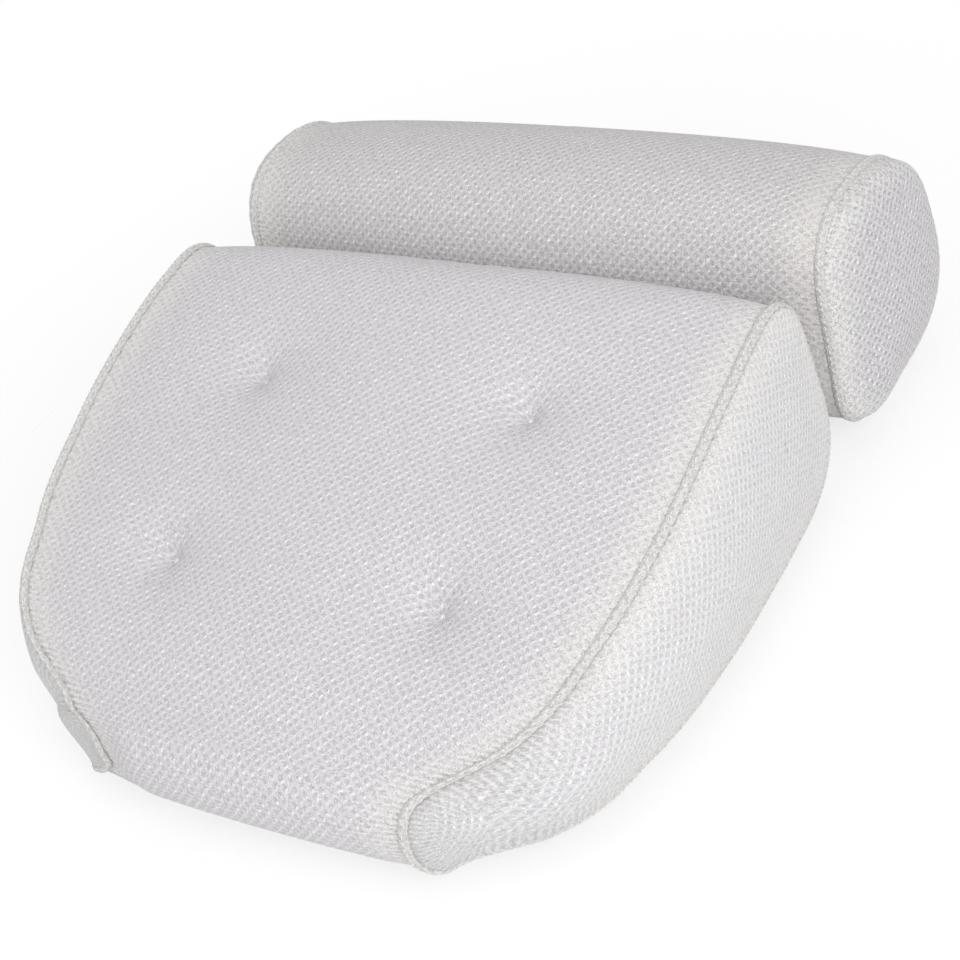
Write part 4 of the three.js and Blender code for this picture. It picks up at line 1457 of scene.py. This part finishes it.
# %% [markdown]
# Each suction cup buttons into a short tape. The tape is the CAD solid, and only gets a better
# finish: woven webbing, with its ribs across. What is sewn on it is new: a box of stitches at each
# end, and thread round the buttonhole.

# %% Webbing tabs
TAB = {
    "length": 54.0, "width": 25.0, "box": 5.5, "inset": 2.2, "end": 1.5, "sewn": LIFT - 1.8,
    "pitch": 3.0, "stitch": 2.2,
}
BUTTONHOLE = {"height": 9.3, "stitches": 30, "from": 4.2, "to": 6.2, "radius": 0.22, "arch": 0.05}
WEAVE, WEAVE_RELIEF = (1.4, 0.9), (0.25, 0.8)
CUP_PLACES = {}
for row in ("front", "back", "roll"):
    for hand, _ in HANDS:
        low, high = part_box(f"{row}_{hand}_suction_cup")
        middle = (low + high) / 2 / MM
        CUP_PLACES[f"{row}_{hand}"] = (middle.x, middle.y - SHIFT)


def webbing_finish():
    """Woven tape: fine ribs across it, and the wavy lines of the yarns that go over and under."""
    finish = Finish("webbing", Roughness=0.75, Sheen_Weight=0.15)
    along, across, _ = finish.parts(finish.object_place())
    over, yarn = (
        (value * (2 * math.pi / (pitch * MM))).math("SINE")
        for value, pitch in zip((along, across), WEAVE)
    )
    weave = over * yarn * 0.5 + 0.5
    return finish.two_tones(weave, tone(204, 201, 196), tone(232, 230, 225), *WEAVE_RELIEF)


webbing = webbing_finish()


def tab_stitches(x, y):
    """Two boxes with crosses, sewn from below, and stitches that fan round the buttonhole."""
    parts = []
    half = TAB["width"] / 2 - TAB["inset"]
    for side in (-1, 1):
        outer = x + side * (TAB["length"] / 2 - TAB["end"])
        inner = outer - side * TAB["box"]
        a, b, c, d = (
            (*corner, TAB["sewn"])
            for corner in ((inner, y - half), (outer, y - half), (outer, y + half), (inner, y + half))
        )
        for start, end in ((a, b), (b, c), (c, d), (d, a), (a, c), (b, d)):
            parts += stitch_row(start, end, TAB["pitch"], TAB["stitch"])
    centre = np.array([x, y, BUTTONHOLE["height"]])
    for turn in np.linspace(0, 2 * np.pi, BUTTONHOLE["stitches"], endpoint=False):
        ray = np.array([math.cos(turn), math.sin(turn), 0])
        ends = centre + ray * BUTTONHOLE["from"], centre + ray * BUTTONHOLE["to"]
        parts.append(stitch(*ends, DOWN, BUTTONHOLE["radius"], BUTTONHOLE["arch"], SHORT_STEPS))
    return parts


for where, (x, y) in CUP_PLACES.items():
    body = "head_roll" if where.startswith("roll") else "wedge"
    place(joined(f"{where}_tab_stitches", tab_stitches(x, y)), body, white_thread, "thread")
    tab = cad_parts[f"{where}_tab"]
    for tab_slot in tab.material_slots:
        tab_slot.material = webbing
print("tabs sewn at", {where: [round(v, 1) for v in middle] for where, middle in CUP_PLACES.items()})

# %% [markdown]
# A suction cup is moulded in one piece of clear soft vinyl: a thin cup, a boss, and a mushroom head
# that buttons through the tape. It is turned, so its profile is drawn once and carried round. The CAD
# cup has sixteen sides; this one has seventy two, and round edges.

# %% Suction cups
RIM, LIP, CAVITY, BOSS_TOP, BOSS, NECK, HEAD = 23.0, 1.2, 4.5, 9.0, 7.0, 3.5, 7.0
HEAD_UNDER, HEAD_TOP, HEAD_ROUND = 10.8, 13.3, 0.9
BOSS_EDGE, NECK_FOOT, NECK_RISE, HEAD_EDGE, HEAD_SWELL = 0.6, 0.3, 0.4, 0.4, 0.3
CUP_STEPS, LIP_STEPS, HEAD_STEPS = 20, 6, 12
CLOUD, CLOUD_RELIEF = (160.0, 3.0), (0.15, 0.25)
CLOUD_ROUGHNESS, CLEAR_ROUGHNESS = 0.12, 0.06


def cup_profile():
    """Radius and height from the middle of the cavity, round the lip, and up to the head."""
    inner = bezier([(0, CAVITY), (RIM / 2, CAVITY), (RIM - LIP, 0)], CUP_STEPS)
    lip = bezier([(RIM - LIP, 0), (RIM, 0), (RIM, LIP / 2)], LIP_STEPS)
    outer = bezier([(RIM, LIP / 2), (RIM - BOSS, CAVITY + LIP), (BOSS, CAVITY + 2 * LIP)], CUP_STEPS)
    boss = [(BOSS, BOSS_TOP - BOSS_EDGE), (BOSS - BOSS_EDGE, BOSS_TOP)]
    neck = [(NECK + NECK_FOOT, BOSS_TOP), (NECK, BOSS_TOP + NECK_RISE), (NECK, HEAD_UNDER)]
    brim = (HEAD - HEAD_EDGE, HEAD_UNDER), (HEAD + HEAD_SWELL, HEAD_UNDER + HEAD_ROUND)
    head = bezier([*brim, (NECK, HEAD_TOP)], HEAD_STEPS)
    return np.concatenate([inner, lip[1:], outer[1:], boss, neck, head, [(0, HEAD_TOP)]])


def turned(name, profile, x, y, around=72):
    """A profile carried round an upright axis, and closed on the axis at both ends."""
    angle = np.linspace(0, 2 * np.pi, around + 1)[None]
    radius, height = profile[:, :1], profile[:, 1:]
    grid = [x + radius * np.cos(angle), y + radius * np.sin(angle), height + 0 * angle]
    grid = np.stack(grid, axis=2)
    obj = new_object(name, grid, outward(grid, grid_faces(len(profile), around + 1, False)))
    weld(obj)
    return dress(obj)


def vinyl_finish():
    """Clear vinyl: almost glass, a little cloudy, with faint flow marks."""
    finish = Finish("clear_vinyl", Transmission_Weight=0.82, IOR=1.53, Specular_IOR_Level=0.5)
    cloud = finish.noise(finish.object_place(), *CLOUD)
    finish.surface(Roughness=cloud * CLOUD_ROUGHNESS + CLEAR_ROUGHNESS)
    return finish.two_tones(cloud, tone(226, 234, 236), tone(242, 247, 248), *CLOUD_RELIEF)


vinyl = vinyl_finish()
for where, (x, y) in CUP_PLACES.items():
    cup = turned(f"{where}_cup", cup_profile(), x, y)
    place(cup, f"{where}_cup", vinyl, "clear_pvc", f"{where}_suction_cup")
print("cups made:", len(CUP_PLACES))

# %% [markdown]
# The photograph is a cut-out on white with only a breath of shadow. The light is large and soft, and
# a little stronger from the right front, where the side panel is the brightest face. The camera sees
# a thin coat of white paint, which keeps the shadow, over a sky that is white whatever light it gives.
# From below the floor isn't there: the underside can be seen, and a roll that hangs down is lit.

# %% Floor and light
FLOOR_SIZE = 4
FLOOR_SHADOW = 0.3
SHADOW_REACH = (0.27, 0.5)
WHITE = (1, 1, 1, 1)


def seen_directly(nodes):
    """1 for rays from the camera, a gloss or a clear body, and 0 for the light that bounces about."""
    camera_ray, gloss, clear = (
        nodes.add("ShaderNodeLightPath", output=f"Is {kind} Ray")
        for kind in ("Camera", "Glossy", "Transmission")
    )
    return camera_ray.math("MAXIMUM", gloss).math("MAXIMUM", clear)


def floor_finish():
    """White paint for the light. What looks at it from above sees a share of that paint, which keeps
    the shadow, over the white sky. From below it isn't there, so a roll that hangs down is lit."""
    material = bpy.data.materials.new("floor_white")
    nodes = Nodes(material)
    paint = nodes.add("ShaderNodeBsdfDiffuse", {}, {"Color": WHITE})
    clear = nodes.add("ShaderNodeBsdfTransparent")
    away = nodes.add("ShaderNodeVectorMath", {"operation": "LENGTH"}, [nodes.object_place()], "Value")
    fade = (1 - nodes.step(away, *SHADOW_REACH)) * FLOOR_SHADOW
    thin = nodes.mixed(fade, clear, paint)
    above = nodes.mixed(seen_directly(nodes), paint, thin)
    below = nodes.add("ShaderNodeNewGeometry", output="Backfacing")
    nodes.end("ShaderNodeOutputMaterial", nodes.mixed(below, above, clear))
    return material


floor_mesh = bpy.data.meshes.new("floor")
floor_corners = [(x * FLOOR_SIZE, y * FLOOR_SIZE, 0) for x, y in ((-1, -1), (1, -1), (1, 1), (-1, 1))]
floor_mesh.from_pydata(floor_corners, [], [(0, 1, 2, 3)])
floor = bpy.data.objects.new("floor", floor_mesh)
floor_mesh.materials.append(floor_finish())
bpy.context.scene.collection.objects.link(floor)

WORLD_LIGHT = 0.5
LAMP_AIM = (0, 0, 0.06)
LAMPS = {
    "key": {"at": (1.2, -0.68, 1.1), "size": 0.9, "power": 16.8},
    "fill": {"at": (-1.2, -1.0, 1.2), "size": 1.6, "power": 7.5},
    "top": {"at": (0.1, 0.3, 2.0), "size": 1.6, "power": 6.0},
}


def light_world(strength):
    """An even white sky. The camera, gloss and glass see it at 1, and the object is lit by strength."""
    world = bpy.data.worlds.new("sky")
    bpy.context.scene.world = world
    nodes = Nodes(world)
    sky, white = (
        nodes.add("ShaderNodeBackground", {}, {"Color": WHITE, "Strength": power})
        for power in (strength, 1)
    )
    nodes.end("ShaderNodeOutputWorld", nodes.mixed(seen_directly(nodes), sky, white))


def lamp(name, at, size, power):
    """A square lamp that faces the middle of the pillow."""
    data = bpy.data.lights.new(name, "AREA")
    data.size, data.energy = size, power
    obj = bpy.data.objects.new(name, data)
    bpy.context.scene.collection.objects.link(obj)
    back = np.array(at) - np.array(LAMP_AIM)
    back /= np.linalg.norm(back)
    across = np.cross([0, 0, 1.0], back)
    across /= np.linalg.norm(across)
    matrix = np.eye(4)
    matrix[:3, 0], matrix[:3, 1], matrix[:3, 2], matrix[:3, 3] = across, np.cross(back, across), back, at
    obj.matrix_world = [list(row) for row in matrix.T]


light_world(WORLD_LIGHT)
for name, settings in LAMPS.items():
    lamp(name, **settings)
bpy.context.scene.view_settings.view_transform = "Standard"
print("lights set")
